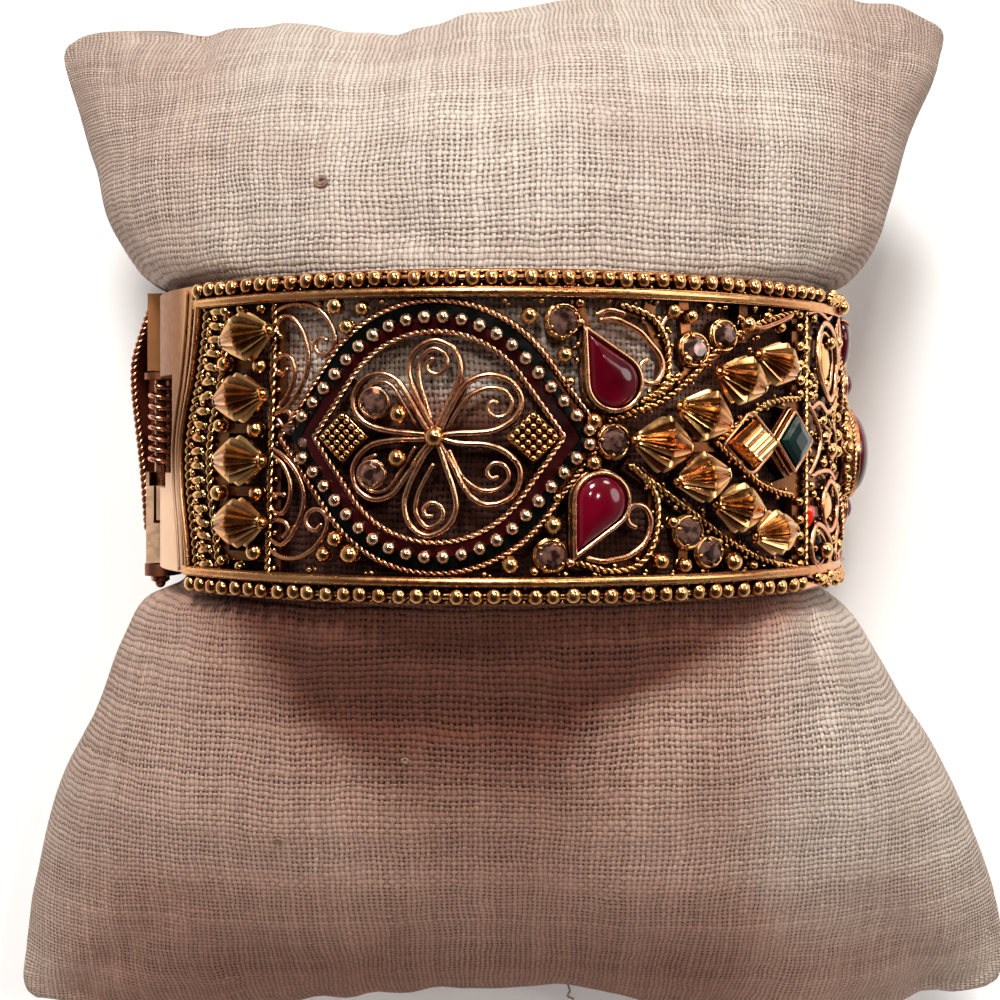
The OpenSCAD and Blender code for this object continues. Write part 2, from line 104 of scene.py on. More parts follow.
# ------------------------------------------------------------------ mesh making
class Part:
    """Collects closed forms in millimetres and makes one mesh of them."""

    def __init__(self):
        self.v, self.f, self.n, self.sharp = [], [], 0, None

    def add(self, verts, *faces):
        verts = np.asarray(verts, float).reshape(-1, 3)
        self.v.append(verts)
        for f in faces:
            f = np.asarray(f, int)
            if len(f):
                self.f.append(f + self.n)
        self.n += len(verts)

    def make(self, name, material, body, slot, smooth=True, sharp=None, replaces=(), attribute=None):
        me = bpy.data.meshes.new(name)
        co = (np.concatenate(self.v) / 1000.0).astype(np.float32)
        me.vertices.add(len(co))
        me.vertices.foreach_set("co", co.ravel())
        loops = np.concatenate([f.ravel() for f in self.f])
        sizes = np.concatenate([np.full(len(f), f.shape[1]) for f in self.f])
        starts = np.concatenate([[0], np.cumsum(sizes)[:-1]])
        me.loops.add(len(loops))
        me.loops.foreach_set("vertex_index", loops.astype(np.int32))
        me.polygons.add(len(sizes))
        me.polygons.foreach_set("loop_start", starts.astype(np.int32))
        me.polygons.foreach_set("use_smooth", np.full(len(sizes), bool(smooth)))
        me.update(calc_edges=True)
        me.validate()
        if attribute is not None:
            at = me.attributes.new(attribute[0], "FLOAT_VECTOR", "POINT")
            at.data.foreach_set("vector", np.asarray(attribute[1], np.float32).ravel())
        if sharp is not None:
            me.set_sharp_from_angle(angle=math.radians(sharp))
        me.materials.append(material)
        ob = bpy.data.objects.new(name, me)
        bpy.context.scene.collection.objects.link(ob)
        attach(ob, body)
        if replaces:
            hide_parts(*replaces)
        return ob


def unit(a):
    return a / np.maximum(np.linalg.norm(a, axis=-1, keepdims=True), 1e-12)


def spline(points, step=0.25, closed=False):
    """Catmull-Rom curve through points, then evenly spaced."""
    p = np.asarray(points, float)
    k = len(p)
    if closed:
        q = np.vstack([p[-1], p, p[0], p[1]])
        spans = k
    else:
        q = np.vstack([2 * p[0] - p[1], p, 2 * p[-1] - p[-2]])
        spans = k - 1
    out = []
    m = 14
    t = np.linspace(0, 1, m, endpoint=False)[:, None]
    for i in range(spans):
        p0, p1, p2, p3 = q[i], q[i + 1], q[i + 2], q[i + 3]
        out.append(0.5 * (2 * p1 + (p2 - p0) * t + (2 * p0 - 5 * p1 + 4 * p2 - p3) * t ** 2 + (3 * p1 - p0 - 3 * p2 + p3) * t ** 3))
    out.append(p[:1] if closed else p[-1:])
    return even(np.vstack(out), step)


def even(c, step):
    """The polyline c in equal steps, both ends kept."""
    d = np.concatenate([[0], np.cumsum(np.linalg.norm(np.diff(c, axis=0), axis=1))])
    n = max(3, int(round(d[-1] / step)))
    s = np.linspace(0, d[-1], n + 1)
    return np.stack([np.interp(s, d, c[:, i]) for i in range(c.shape[1])], -1)


def along(c):
    t = np.gradient(c, axis=0)
    return unit(t)


def tube(part, c, up, r, sides=8, closed=False, squash=1.0):
    """A wire of radius r along c. up is one direction or one per point. closed: the last point repeats the first."""
    c = np.asarray(c, float)
    if closed:
        c = c[:-1]
        t = unit(np.roll(c, -1, 0) - np.roll(c, 1, 0))
        up = np.asarray(up, float)
        up = up[:-1] if up.ndim == 2 else up
    else:
        t = along(c)
        up = np.asarray(up, float)
    up = np.broadcast_to(up, c.shape)
    nrm = unit(up - (up * t).sum(-1, keepdims=True) * t)
    side = np.cross(t, nrm)
    r = np.broadcast_to(np.asarray(r, float), (len(c),))
    w = np.arange(sides) * 2 * PI / sides
    ring = (np.cos(w)[None, :, None] * nrm[:, None, :] * squash + np.sin(w)[None, :, None] * side[:, None, :]) * r[:, None, None]
    v = (c[:, None, :] + ring).reshape(-1, 3)
    n = len(c)
    i = np.arange(n if closed else n - 1)[:, None]
    j = np.arange(sides)[None, :]
    a = (i % n) * sides + j
    b = (i % n) * sides + (j + 1) % sides
    a2 = ((i + 1) % n) * sides + j
    b2 = ((i + 1) % n) * sides + (j + 1) % sides
    quads = np.stack([a, a2, b2, b], -1).reshape(-1, 4)
    if closed:
        part.add(v, quads[:, ::-1])
        return
    # rounded ends: one smaller ring and a point
    ends = np.vstack([c[0] - t[0] * r[0] * 0.8, c[-1] + t[-1] * r[-1] * 0.8])
    base = len(v)
    v = np.vstack([v, ends])
    jj = np.arange(sides)
    cap0 = np.stack([np.full(sides, base), jj, (jj + 1) % sides], -1)
    cap1 = np.stack([np.full(sides, base + 1), (n - 1) * sides + (jj + 1) % sides, (n - 1) * sides + jj], -1)
    part.add(v, quads[:, ::-1], cap0[:, ::-1], cap1[:, ::-1])


def rope(part, c, up, r, pitch=1.2, strands=2, sides=6, per=10, closed=False, phase=0.0):
    """Twisted wire: strands wound round c, r is the rope's radius, pitch one full turn of a strand."""
    c = np.asarray(c, float)
    up = np.asarray(up, float)
    d = np.concatenate([[0], np.cumsum(np.linalg.norm(np.diff(c, axis=0), axis=1))])
    length = d[-1]
    turns = length / pitch
    if closed:
        turns = max(1, round(turns * strands)) / strands
    n = max(8, int(round(turns * per)))
    s = np.linspace(0, length, n + 1)
    cc = np.stack([np.interp(s, d, c[:, i]) for i in range(3)], -1)
    uu = np.stack([np.interp(s, d, np.broadcast_to(up, c.shape)[:, i]) for i in range(3)], -1)
    if closed:
        t = unit(np.roll(cc[:-1], -1, 0) - np.roll(cc[:-1], 1, 0))
        t = np.vstack([t, t[:1]])
    else:
        t = along(cc)
    nrm = unit(uu - (uu * t).sum(-1, keepdims=True) * t)
    side = np.cross(t, nrm)
    whole = closed and abs(turns - round(turns)) < 1e-6
    if closed and not whole:      # the strands join into each other: one long wire
        m = 2
        ph = phase + 2 * PI * turns * np.linspace(0, m, m * n + 1)
        big = lambda a: np.vstack([a[:-1]] * m + [a[:1]])
        path = big(cc) + (np.cos(ph)[:, None] * big(nrm) + np.sin(ph)[:, None] * big(side)) * r * 0.5
        tube(part, path, big(uu), r * 0.54, sides, True)
        return
    for k in range(strands):
        ph = phase + 2 * PI * k / strands + 2 * PI * turns * s / length
        path = cc + (np.cos(ph)[:, None] * nrm + np.sin(ph)[:, None] * side) * r * 0.5
        tube(part, path, uu, r * 0.54, sides, closed)


_sphere = {}


def sphere_mesh(seg, rings):
    if (seg, rings) not in _sphere:
        lat = np.linspace(0, PI, rings + 1)[1:-1]
        lon = np.arange(seg) * 2 * PI / seg
        v = np.stack([np.sin(lat)[:, None] * np.cos(lon), np.sin(lat)[:, None] * np.sin(lon), np.cos(lat)[:, None] + 0 * lon], -1).reshape(-1, 3)
        v = np.vstack([v, [0, 0, 1], [0, 0, -1]])
        m = rings - 1
        i = np.arange(m - 1)[:, None]
        j = np.arange(seg)[None]
        q = np.stack([i * seg + j, (i + 1) * seg + j, (i + 1) * seg + (j + 1) % seg, i * seg + (j + 1) % seg], -1).reshape(-1, 4)
        jj = np.arange(seg)
        top = np.stack([np.full(seg, m * seg), jj, (jj + 1) % seg], -1)
        bot = np.stack([np.full(seg, m * seg + 1), (m - 1) * seg + (jj + 1) % seg, (m - 1) * seg + jj], -1)
        _sphere[(seg, rings)] = v, q, np.vstack([top, bot])
    return _sphere[(seg, rings)]


def balls(part, centres, r, seg=12, rings=8, axes=None, scale=(1, 1, 1)):
    """Granules. axes: rows along which scale stretches each one, one set or one per ball."""
    centres = np.asarray(centres, float).reshape(-1, 3)
    r = np.broadcast_to(np.asarray(r, float), (len(centres),))
    v, q, t = sphere_mesh(seg, rings)
    for k, (c, rr) in enumerate(zip(centres, r)):
        w = v * rr * np.asarray(scale, float)
        if axes is not None:
            ax = np.asarray(axes, float)
            w = w @ (ax if ax.ndim == 2 else ax[k])
        part.add(c + w, q, t)


def on_band(pts, h, flip=1.0, step=0.22, closed=False):
    """Smooth wire path through (u, v) points at height h, with its outward directions."""
    uv = spline(pts, step, closed)
    return band(uv[:, 0], uv[:, 1], h, flip), outward(uv[:, 0], flip)


def flat_path(u0, pts, h, flip=1.0, step=0.22, closed=False):
    xy = spline(pts, step, closed)
    return tang(u0, xy[:, 0], xy[:, 1], h, flip)


def lens(r, t, step=0.2):
    """Closed eye outline: circle of radius r with tips at +t and -t along x."""
    f = math.acos(r / t)
    w1 = np.linspace(f, PI - f, 80)
    w2 = np.linspace(PI + f, 2 * PI - f, 80)
    c = np.vstack([[t, 0], np.stack([r * np.cos(w1), r * np.sin(w1)], -1), [-t, 0], np.stack([r * np.cos(w2), r * np.sin(w2)], -1), [t, 0]])
    return even(c, step)


def drop(r, t, n=56):
    """Closed teardrop outline: round end on the origin, tip at t along +y."""
    f = math.asin(r / t)
    w = np.linspace(f, -PI - f, n)
    c = np.stack([r * np.cos(w), r * np.sin(w)], -1)
    return np.vstack([[0, t], c])


def turn(p, degrees):
    a = math.radians(degrees)
    p = np.asarray(p, float)
    return np.stack([p[..., 0] * math.cos(a) - p[..., 1] * math.sin(a), p[..., 0] * math.sin(a) + p[..., 1] * math.cos(a)], -1)


def dome(part, outline, place, z0, z1, rings=9, power=2.0, centre=None, flat=0.0, pocket=None):
    """A polished stone: outline (n, 2) rising from z0 to a crown at z1. place maps (m, 3) local points to the frame.
    pocket: (outline of the same count, height) of the hollow in its underside, for the seat it is set over."""
    o = np.asarray(outline, float)
    n = len(o)
    c = np.mean(o, 0) if centre is None else np.asarray(centre, float)
    t = 1 - np.linspace(0, 1, rings, endpoint=False) ** 1.6
    rows = [np.column_stack([o, np.full(n, z0)])]
    for s in t:
        s2 = flat + (1 - flat) * s
        z = z0 + 0.25 * (z1 - z0) + 0.75 * (z1 - z0) * (1 - s ** power) ** (1 / power)
        rows.append(np.column_stack([c + (o - c) * s2, np.full(n, z)]))
    zb = z0
    if pocket is not None:
        k, zb = np.asarray(pocket[0], float), pocket[1]
        rows = [np.column_stack([k, np.full(n, zb)]), np.column_stack([k, np.full(n, z0)])] + rows
    v = np.vstack(rows + [[[c[0], c[1], zb]], [[c[0], c[1], z1]]])
    m = len(rows)
    i = np.arange(m - 1)[:, None]
    j = np.arange(n)[None]
    q = np.stack([i * n + j, i * n + (j + 1) % n, (i + 1) * n + (j + 1) % n, (i + 1) * n + j], -1).reshape(-1, 4)
    jj = np.arange(n)
    bot = np.stack([np.full(n, m * n), (jj + 1) % n, jj], -1)
    top = np.stack([np.full(n, m * n + 1), (m - 1) * n + jj, (m - 1) * n + (jj + 1) % n], -1)
    area = 0.5 * np.sum(o[:, 0] * np.roll(o[:, 1], -1) - np.roll(o[:, 0], -1) * o[:, 1])
    w = place(v)
    # the winding follows the outline's sense and the handedness of place
    e = place(np.array([[0, 0, 0], [1, 0, 0], [0, 1, 0], [0, 0, 1.0]]))
    hand = np.linalg.det(e[1:] - e[0])
    if area * hand < 0:
        part.add(w, q[:, ::-1], bot[:, ::-1], top[:, ::-1])
    else:
        part.add(w, q, bot, top)


def gem(part, place, r, z0, z1):
    """A round brilliant: girdle of 16, crown facets, flat table, closed below."""
    w16 = np.arange(16) * 2 * PI / 16
    w8 = np.arange(8) * 2 * PI / 8
    girdle0 = np.column_stack([r * 0.97 * np.cos(w16), r * 0.97 * np.sin(w16), np.full(16, z0)])
    girdle1 = np.column_stack([r * np.cos(w16), r * np.sin(w16), np.full(16, z0 + 0.3 * (z1 - z0))])
    mid = np.column_stack([r * 0.76 * np.cos(w8), r * 0.76 * np.sin(w8), np.full(8, z0 + 0.72 * (z1 - z0))])
    tab = np.column_stack([r * 0.5 * np.cos(w8 + PI / 8), r * 0.5 * np.sin(w8 + PI / 8), np.full(8, z1)])
    v = np.vstack([girdle0, girdle1, mid, tab, [[0, 0, z0]], [[0, 0, z1]]])
    g0, g1, m, t, c0, c1 = 0, 16, 32, 40, 48, 49
    tri = []
    for i in range(16):
        k = (i + 1) % 16
        tri += [[g0 + i, g0 + k, g1 + k], [g0 + i, g1 + k, g1 + i], [c0, g0 + k, g0 + i]]
    for i in range(8):
        k = (i + 1) % 8
        a, b, c = g1 + 2 * i, g1 + (2 * i + 1) % 16, g1 + (2 * i + 2) % 16
        tri += [[a, b, m + i], [b, c, m + k], [m + i, b, t + i], [b, m + k, t + i]]
        tri += [[m + k, t + k, t + i], [c1, t + i, t + k]]
    tri = np.array(tri)
    w = place(v)
    e = place(np.array([[0, 0, 0], [1, 0, 0], [0, 1, 0], [0, 0, 1.0]]))
    part.add(w, tri if np.linalg.det(e[1:] - e[0]) > 0 else tri[:, ::-1])


# ------------------------------------------------------------------ materials
def node_tree(name):
    m = bpy.data.materials.new(name)
    m.use_nodes = True
    nt = m.node_tree
    nt.nodes.clear()
    out = nt.nodes.new("ShaderNodeOutputMaterial")
    bsdf = nt.nodes.new("ShaderNodeBsdfPrincipled")
    nt.links.new(bsdf.outputs["BSDF"], out.inputs["Surface"])
    return m, nt, bsdf


def math_node(nt, op, a, b=None, c=None, clamp=False):
    n = nt.nodes.new("ShaderNodeMath")
    n.operation = op
    n.use_clamp = clamp
    for k, x in enumerate((a, b, c)):
        if x is None:
            continue
        if isinstance(x, (int, float)):
            n.inputs[k].default_value = x
        else:
            nt.links.new(x, n.inputs[k])
    return n.outputs[0]


def noise(nt, vector, scale, detail=3.0, rough=0.5, dims="3D"):
    n = nt.nodes.new("ShaderNodeTexNoise")
    n.noise_dimensions = dims
    n.inputs["Scale"].default_value = scale
    n.inputs["Detail"].default_value = detail
    n.inputs["Roughness"].default_value = rough
    nt.links.new(vector, n.inputs["Vector"])
    return n.outputs["Fac"]


def span(nt, value, a, b, lo=0.0, hi=1.0, kind="LINEAR"):
    n = nt.nodes.new("ShaderNodeMapRange")
    n.interpolation_type = kind
    nt.links.new(value, n.inputs[0])
    n.inputs[1].default_value, n.inputs[2].default_value = a, b
    n.inputs[3].default_value, n.inputs[4].default_value = lo, hi
    return n.outputs[0]


def mix(nt, fac, a, b, blend="MIX"):
    n = nt.nodes.new("ShaderNodeMix")
    n.data_type = "RGBA"
    n.blend_type = blend
    for sock, x in ((n.inputs[0], fac), (n.inputs[6], a), (n.inputs[7], b)):
        if isinstance(x, (int, float)):
            sock.default_value = x
        elif isinstance(x, tuple):
            sock.default_value = (*x, 1.0)
        else:
            nt.links.new(x, sock)
    return n.outputs[2]


def object_coords(nt):
    return nt.nodes.new("ShaderNodeTexCoord").outputs["Object"]


def bump(nt, bsdf, height, distance, strength=1.0):
    b = nt.nodes.new("ShaderNodeBump")
    b.inputs["Strength"].default_value = strength
    b.inputs["Distance"].default_value = distance
    nt.links.new(height, b.inputs["Height"])
    nt.links.new(b.outputs[0], bsdf.inputs["Normal"])


def metal(name, bright, warm, dark, rough=(0.16, 0.34), ao=0.0016, copper=None, grain=1500.0, depth=1.0e-5, recess=1.0, shade_low_parts=False, shade_grooves_and_back=False):
    """Gilt metal: colour drifts between bright and warm, recesses are painted dark as shade, polish varies, the surface
    is finely pitted.
    """
    m, nt, bsdf = node_tree(name)
    bsdf.inputs["Metallic"].default_value = 1.0
    co = object_coords(nt)
    drift = span(nt, noise(nt, co, 260.0, 2.0), 0.35, 0.65)
    colour = mix(nt, drift, bright, warm)
    fine = noise(nt, co, grain, 3.0, 0.6)
    polish = span(nt, fine, 0.3, 0.7, rough[0], rough[1])
    sep = nt.nodes.new("ShaderNodeSeparateXYZ")
    nt.links.new(co, sep.inputs[0])
    side = None
    if copper is not None:          # the plain hinge end is redder, duller, and pale towards its lower plates
        side = span(nt, sep.outputs[0], -0.0300, -0.0285, 1.0, 0.0, "SMOOTHSTEP")
        pale = span(nt, sep.outputs[1], 0.0055, -0.0005, 0.0, 1.0, "SMOOTHSTEP")
        colour = mix(nt, side, colour, mix(nt, pale, copper[0], copper[1]))
        polish = math_node(nt, "ADD", polish, math_node(nt, "MULTIPLY", side, copper[2]))
    if shade_low_parts:                       # painted shade: by height above the openwork's plate, from the band's own arcs, the low parts are painted dark brown
        x = math_node(nt, "ABSOLUTE", math_node(nt, "SUBTRACT", math_node(nt, "MULTIPLY", sep.outputs[0], 1000.0), BX))
        z = math_node(nt, "SUBTRACT", math_node(nt, "MULTIPLY", sep.outputs[2], 1000.0), BZ)
        def away(x0, z0, r):
            dx, dz = math_node(nt, "SUBTRACT", x, x0), math_node(nt, "SUBTRACT", z, z0)
            q = math_node(nt, "ADD", math_node(nt, "MULTIPLY", dx, dx), math_node(nt, "MULTIPLY", dz, dz))
            return math_node(nt, "SUBTRACT", math_node(nt, "SQRT", q), r)
        far = math_node(nt, "GREATER_THAN", x, R2 * math.sin(TH))
        top, end = away(0.0, -CZ, R2), away(CX, 0.0, R1)
        h = math_node(nt, "ADD", top, math_node(nt, "MULTIPLY", far, math_node(nt, "SUBTRACT", end, top)))
        low = span(nt, h, -0.80, -0.30, 0.86, 0.0, "SMOOTHSTEP")
        if side is not None:
            low = math_node(nt, "MULTIPLY", low, math_node(nt, "SUBTRACT", 1.0, side))
        colour = mix(nt, low, colour, (0.20, 0.072, 0.026))
    if shade_grooves_and_back:                     # painted shade: the piece's 'groove' attribute says how deep between two flutes, and how far on the back; the flute valleys and the back cone are painted darker
        at = nt.nodes.new("ShaderNodeAttribute")
        at.attribute_name = "groove"
        cut = nt.nodes.new("ShaderNodeSeparateXYZ")
        nt.links.new(at.outputs["Vector"], cut.inputs[0])
        colour = mix(nt, math_node(nt, "MULTIPLY", cut.outputs[1], 0.55), colour, (0.60, 0.27, 0.105))
        colour = mix(nt, span(nt, cut.outputs[0], 0.35, 1.0, 0.0, 0.78, "SMOOTHSTEP"), colour, (0.20, 0.065, 0.020))
    # painted shade: recesses found by ambient occlusion are painted in the dark colour
    a = nt.nodes.new("ShaderNodeAmbientOcclusion")
    a.samples = 8
    a.inputs["Distance"].default_value = ao
    shade = span(nt, a.outputs["AO"], 0.25, 0.85, recess, 0.0, "SMOOTHSTEP")
    nt.links.new(mix(nt, shade, colour, dark), bsdf.inputs["Base Color"])
    nt.links.new(polish, bsdf.inputs["Roughness"])
    bump(nt, bsdf, fine, depth)
    return m


def enamel(name, deep, light, rough=(0.1, 0.25)):
    m, nt, bsdf = node_tree(name)
    co = object_coords(nt)
    nt.links.new(mix(nt, span(nt, noise(nt, co, 420.0, 3.0), 0.35, 0.7), deep, light), bsdf.inputs["Base Color"])
    nt.links.new(span(nt, noise(nt, co, 900.0, 2.0), 0.3, 0.7, rough[0], rough[1]), bsdf.inputs["Roughness"])
    bsdf.inputs["Specular IOR Level"].default_value = 0.25
    bsdf.inputs["Coat Weight"].default_value = 0.06
    bsdf.inputs["Coat Roughness"].default_value = 0.1
    bump(nt, bsdf, noise(nt, co, 700.0, 2.0), 2.0e-5)
    return m


def stone(name, deep, light, rough=0.05, ior=1.7, metallic=0.0, cloud=240.0, spread=(0.35, 0.7)):
    m, nt, bsdf = node_tree(name)
    co = object_coords(nt)
    nt.links.new(mix(nt, span(nt, noise(nt, co, cloud, 2.0), *spread), deep, light), bsdf.inputs["Base Color"])
    nt.links.new(span(nt, noise(nt, co, 1300.0, 2.0), 0.3, 0.7, rough, rough + 0.06), bsdf.inputs["Roughness"])
    bsdf.inputs["IOR"].default_value = ior
    bsdf.inputs["Metallic"].default_value = metallic
    bsdf.inputs["Coat Weight"].default_value = 0.2
    bsdf.inputs["Coat Roughness"].default_value = 0.03
    return m


def linen(name, pitch_x=0.47, pitch_y=0.56):
    """Open plain weave. The piece's 'weave' attribute holds millimetres across and along the cloth, and third the depth
    of the painted shade.
    """
    m, nt, bsdf = node_tree(name)
    L = nt.links
    at = nt.nodes.new("ShaderNodeAttribute")
    at.attribute_name = "weave"
    # threads wander a little
    def wander(scale, amount, offset):
        add = nt.nodes.new("ShaderNodeVectorMath")
        add.operation = "ADD"
        L.new(at.outputs["Vector"], add.inputs[0])
        add.inputs[1].default_value = offset
        return math_node(nt, "MULTIPLY", math_node(nt, "SUBTRACT", noise(nt, add.outputs[0], scale, 2.0), 0.5), amount)
    sep = nt.nodes.new("ShaderNodeSeparateXYZ")
    L.new(at.outputs["Vector"], sep.inputs[0])
    a = math_node(nt, "ADD", math_node(nt, "ADD", sep.outputs[0], wander(0.10, 1.5, (7, 3, 1))), wander(0.62, 0.34, (1, 9, 4)))
    b = math_node(nt, "ADD", math_node(nt, "ADD", sep.outputs[1], wander(0.10, 1.5, (2, 8, 5))), wander(0.62, 0.36, (5, 2, 8)))
    p, q = math_node(nt, "DIVIDE", a, pitch_x), math_node(nt, "DIVIDE", b, pitch_y)
    i, j = math_node(nt, "FLOOR", p), math_node(nt, "FLOOR", q)
    x = math_node(nt, "SUBTRACT", math_node(nt, "SUBTRACT", p, i), 0.5)
    y = math_node(nt, "SUBTRACT", math_node(nt, "SUBTRACT", q, j), 0.5)

    def white(u, w):
        c = nt.nodes.new("ShaderNodeCombineXYZ")
        for k, s in enumerate((u, w)):
            if isinstance(s, (int, float)):
                c.inputs[k].default_value = s
            else:
                L.new(s, c.inputs[k])
        n = nt.nodes.new("ShaderNodeTexWhiteNoise")
        n.noise_dimensions = "2D"
        L.new(c.outputs[0], n.inputs["Vector"])
        return n.outputs["Value"]

    def stretched(u, v, su, sv, detail=2.0):
        c = nt.nodes.new("ShaderNodeCombineXYZ")
        L.new(math_node(nt, "MULTIPLY", u, su), c.inputs[0])
        L.new(math_node(nt, "MULTIPLY", v, sv), c.inputs[1])
        return noise(nt, c.outputs[0], 1.0, detail)

    # thickness of each thread: its own, and slubs along it
    ww = math_node(nt, "ADD", span(nt, white(i, 3.0), 0, 1, 0.27, 0.43), span(nt, stretched(i, q, 7.31, 0.15), 0.45, 0.8, 0.0, 0.20))
    wf = math_node(nt, "ADD", span(nt, white(j, 11.0), 0, 1, 0.27, 0.44), span(nt, stretched(j, p, 5.77, 0.13), 0.45, 0.8, 0.0, 0.22))

    def profile(t, w):
        r = math_node(nt, "DIVIDE", t, w)
        return math_node(nt, "SQRT", math_node(nt, "MAXIMUM", math_node(nt, "SUBTRACT", 1.0, math_node(nt, "MULTIPLY", r, r)), 0.0))

    def parity(k):
        return math_node(nt, "SUBTRACT", 1.0, math_node(nt, "MULTIPLY", math_node(nt, "FLOORED_MODULO", k, 2.0), 2.0))

    pw, pf = profile(x, ww), profile(y, wf)
    ew = math_node(nt, "MULTIPLY", parity(i), math_node(nt, "COSINE", math_node(nt, "MULTIPLY", math_node(nt, "SUBTRACT", q, 0.5), PI)))
    ef = math_node(nt, "MULTIPLY", parity(j), math_node(nt, "COSINE", math_node(nt, "MULTIPLY", math_node(nt, "SUBTRACT", p, 0.5), -PI)))
    ef = math_node(nt, "MULTIPLY", ef, -1.0)

    def height(pr, e):
        on = math_node(nt, "GREATER_THAN", pr, 0.02)
        h = math_node(nt, "ADD", pr, math_node(nt, "MULTIPLY", e, 0.55))
        return math_node(nt, "SUBTRACT", math_node(nt, "MULTIPLY", on, math_node(nt, "ADD", h, 1.2)), 1.2)

    hw, hf = height(pw, ew), height(pf, ef)
    top = math_node(nt, "MAXIMUM", hw, hf)
    warp = math_node(nt, "GREATER_THAN", hw, hf)
    # fibres along each thread
    fw = stretched(p, q, 9.0, 1.1, 3.0)
    ff = stretched(p, q, 1.1, 9.0, 3.0)
    fibre_w = mix(nt, warp, ff, fw)
    tone = mix(nt, warp, white(j, 23.0), white(i, 17.0))
    tint = mix(nt, span(nt, tone, 0, 1, 0.0, 0.8), (0.670, 0.565, 0.475), (0.410, 0.315, 0.255))
    tint = mix(nt, span(nt, fibre_w, 0.35, 0.72, 0.0, 0.7), tint, (0.800, 0.725, 0.640))
    cloud = noise(nt, at.outputs["Vector"], 0.06, 3.0)
    tint = mix(nt, span(nt, cloud, 0.4, 0.7, 0.0, 0.40), tint, (0.460, 0.315, 0.265))
    # scattered dark and pale flecks in the yarn
    fleck = stretched(p, q, 0.55, 1.3, 1.0)
    tint = mix(nt, span(nt, fleck, 0.77, 0.83, 0.0, 0.5), tint, (0.20, 0.12, 0.095))
    pale = stretched(p, q, 0.21, 0.9, 1.0)
    tint = mix(nt, span(nt, pale, 0.76, 0.82, 0.0, 0.5), tint, (0.66, 0.56, 0.48))
    # painted shade: the sides of each thread and the gaps between threads are painted darker
    depth = span(nt, top, -0.55, 1.2)
    # third number of the attribute: how deep the cloth lies in the painted brown shade under and below the band; the
    # gaps are darkened by it twice
    ramp = nt.nodes.new("ShaderNodeValToRGB")
    e = ramp.color_ramp.elements
    e[0].position, e[0].color = 0.0, (1.0, 1.0, 1.0, 1.0)
    e[1].position, e[1].color = 1.0, (0.05, 0.018, 0.012, 1.0)
    for at_, c in ((0.35, (0.74, 0.53, 0.47, 1.0)), (0.85, (0.27, 0.115, 0.085, 1.0))):
        e.new(at_).color = c
    L.new(sep.outputs[2], ramp.inputs["Fac"])
    gap = mix(nt, 1.0, (0.140, 0.084, 0.060), ramp.outputs["Color"], "MULTIPLY")
    shade = mix(nt, 1.0, mix(nt, depth, gap, tint), ramp.outputs["Color"], "MULTIPLY")
    L.new(shade, bsdf.inputs["Base Color"])
    bsdf.inputs["Roughness"].default_value = 0.93
    bsdf.inputs["Specular IOR Level"].default_value = 0.06
    bsdf.inputs["Sheen Weight"].default_value = 0.04
    bsdf.inputs["Sheen Roughness"].default_value = 0.6
    total = math_node(nt, "ADD", top, math_node(nt, "MULTIPLY", fibre_w, 0.5))
    bump(nt, bsdf, total, 0.00018, 1.0)
    return m


GOLD_BRIGHT, GOLD_WARM, GOLD_DARK = (0.93, 0.55, 0.21), (0.80, 0.365, 0.14), (0.070, 0.014, 0.005)
M_FRAME = metal("gilt_frame", (0.82, 0.43, 0.17), (0.66, 0.28, 0.11), GOLD_DARK, (0.2, 0.36), ao=0.0026, copper=((0.34, 0.15, 0.06), (0.96, 0.64, 0.42), 0.20), shade_low_parts=True)
M_BACK = metal("gilt_back_frame", (0.80, 0.391, 0.17), (0.66, 0.255, 0.11), GOLD_DARK, (0.22, 0.4), ao=0.0026, copper=((0.30, 0.10, 0.050), (0.34, 0.125, 0.065), 0.15))
M_GOLD = metal("gilt_wire", GOLD_BRIGHT, GOLD_WARM, GOLD_DARK, (0.12, 0.28), ao=0.0017)
M_WIRE = metal("gilt_scroll_wire", (0.93, 0.502, 0.27), (0.76, 0.319, 0.17), GOLD_DARK, (0.16, 0.32), ao=0.0015)
M_BEAD = metal("gilt_granules", (0.95, 0.577, 0.22), (0.82, 0.382, 0.14), GOLD_DARK, (0.10, 0.24), ao=0.0017, grain=2600.0)
M_RIM = metal("gilt_rim_beads", (0.90, 0.50, 0.20), (0.72, 0.32, 0.12), (0.060, 0.012, 0.004), (0.12, 0.26), ao=0.0019, grain=2600.0)
M_PALE = metal("pale_gilt_granules", (0.97, 0.707, 0.45), (0.88, 0.528, 0.32), (0.10, 0.03, 0.012), (0.12, 0.26), ao=0.0011, grain=2600.0)
M_FLUTE = metal("fluted_gilt", (1.0, 0.60, 0.22), (0.90, 0.40, 0.15), (0.09, 0.020, 0.007), (0.13, 0.25), ao=0.0012, shade_grooves_and_back=True)
M_COPPER = metal("hinge_copper", (0.80, 0.372, 0.22), (0.62, 0.237, 0.13), (0.085, 0.018, 0.008), (0.18, 0.34), ao=0.0020)
M_GREEN_EN = enamel("dark_green_enamel", (0.0008, 0.0013, 0.0011), (0.0010, 0.0030, 0.0024))
M_RED_EN = enamel("dark_red_enamel", (0.0100, 0.0009, 0.0012), (0.036, 0.0022, 0.0030))
M_RED = stone("crimson_stone", (0.050, 0.0003, 0.0034), (0.125, 0.0009, 0.009), 0.07, 1.42)
M_TEAL = stone("teal_stone", (0.000, 0.004, 0.004), (0.0008, 0.016, 0.014), 0.06, 1.45)
M_CLEAR = stone("champagne_stone", (0.035, 0.014, 0.010), (0.24, 0.12, 0.090), 0.03, 1.9, 0.5, 1100.0, (0.44, 0.60))
M_SCARLET = stone("scarlet_stone", (0.55, 0.010, 0.006), (0.85, 0.045, 0.02), 0.08)
M_LINEN = linen("linen_weave")

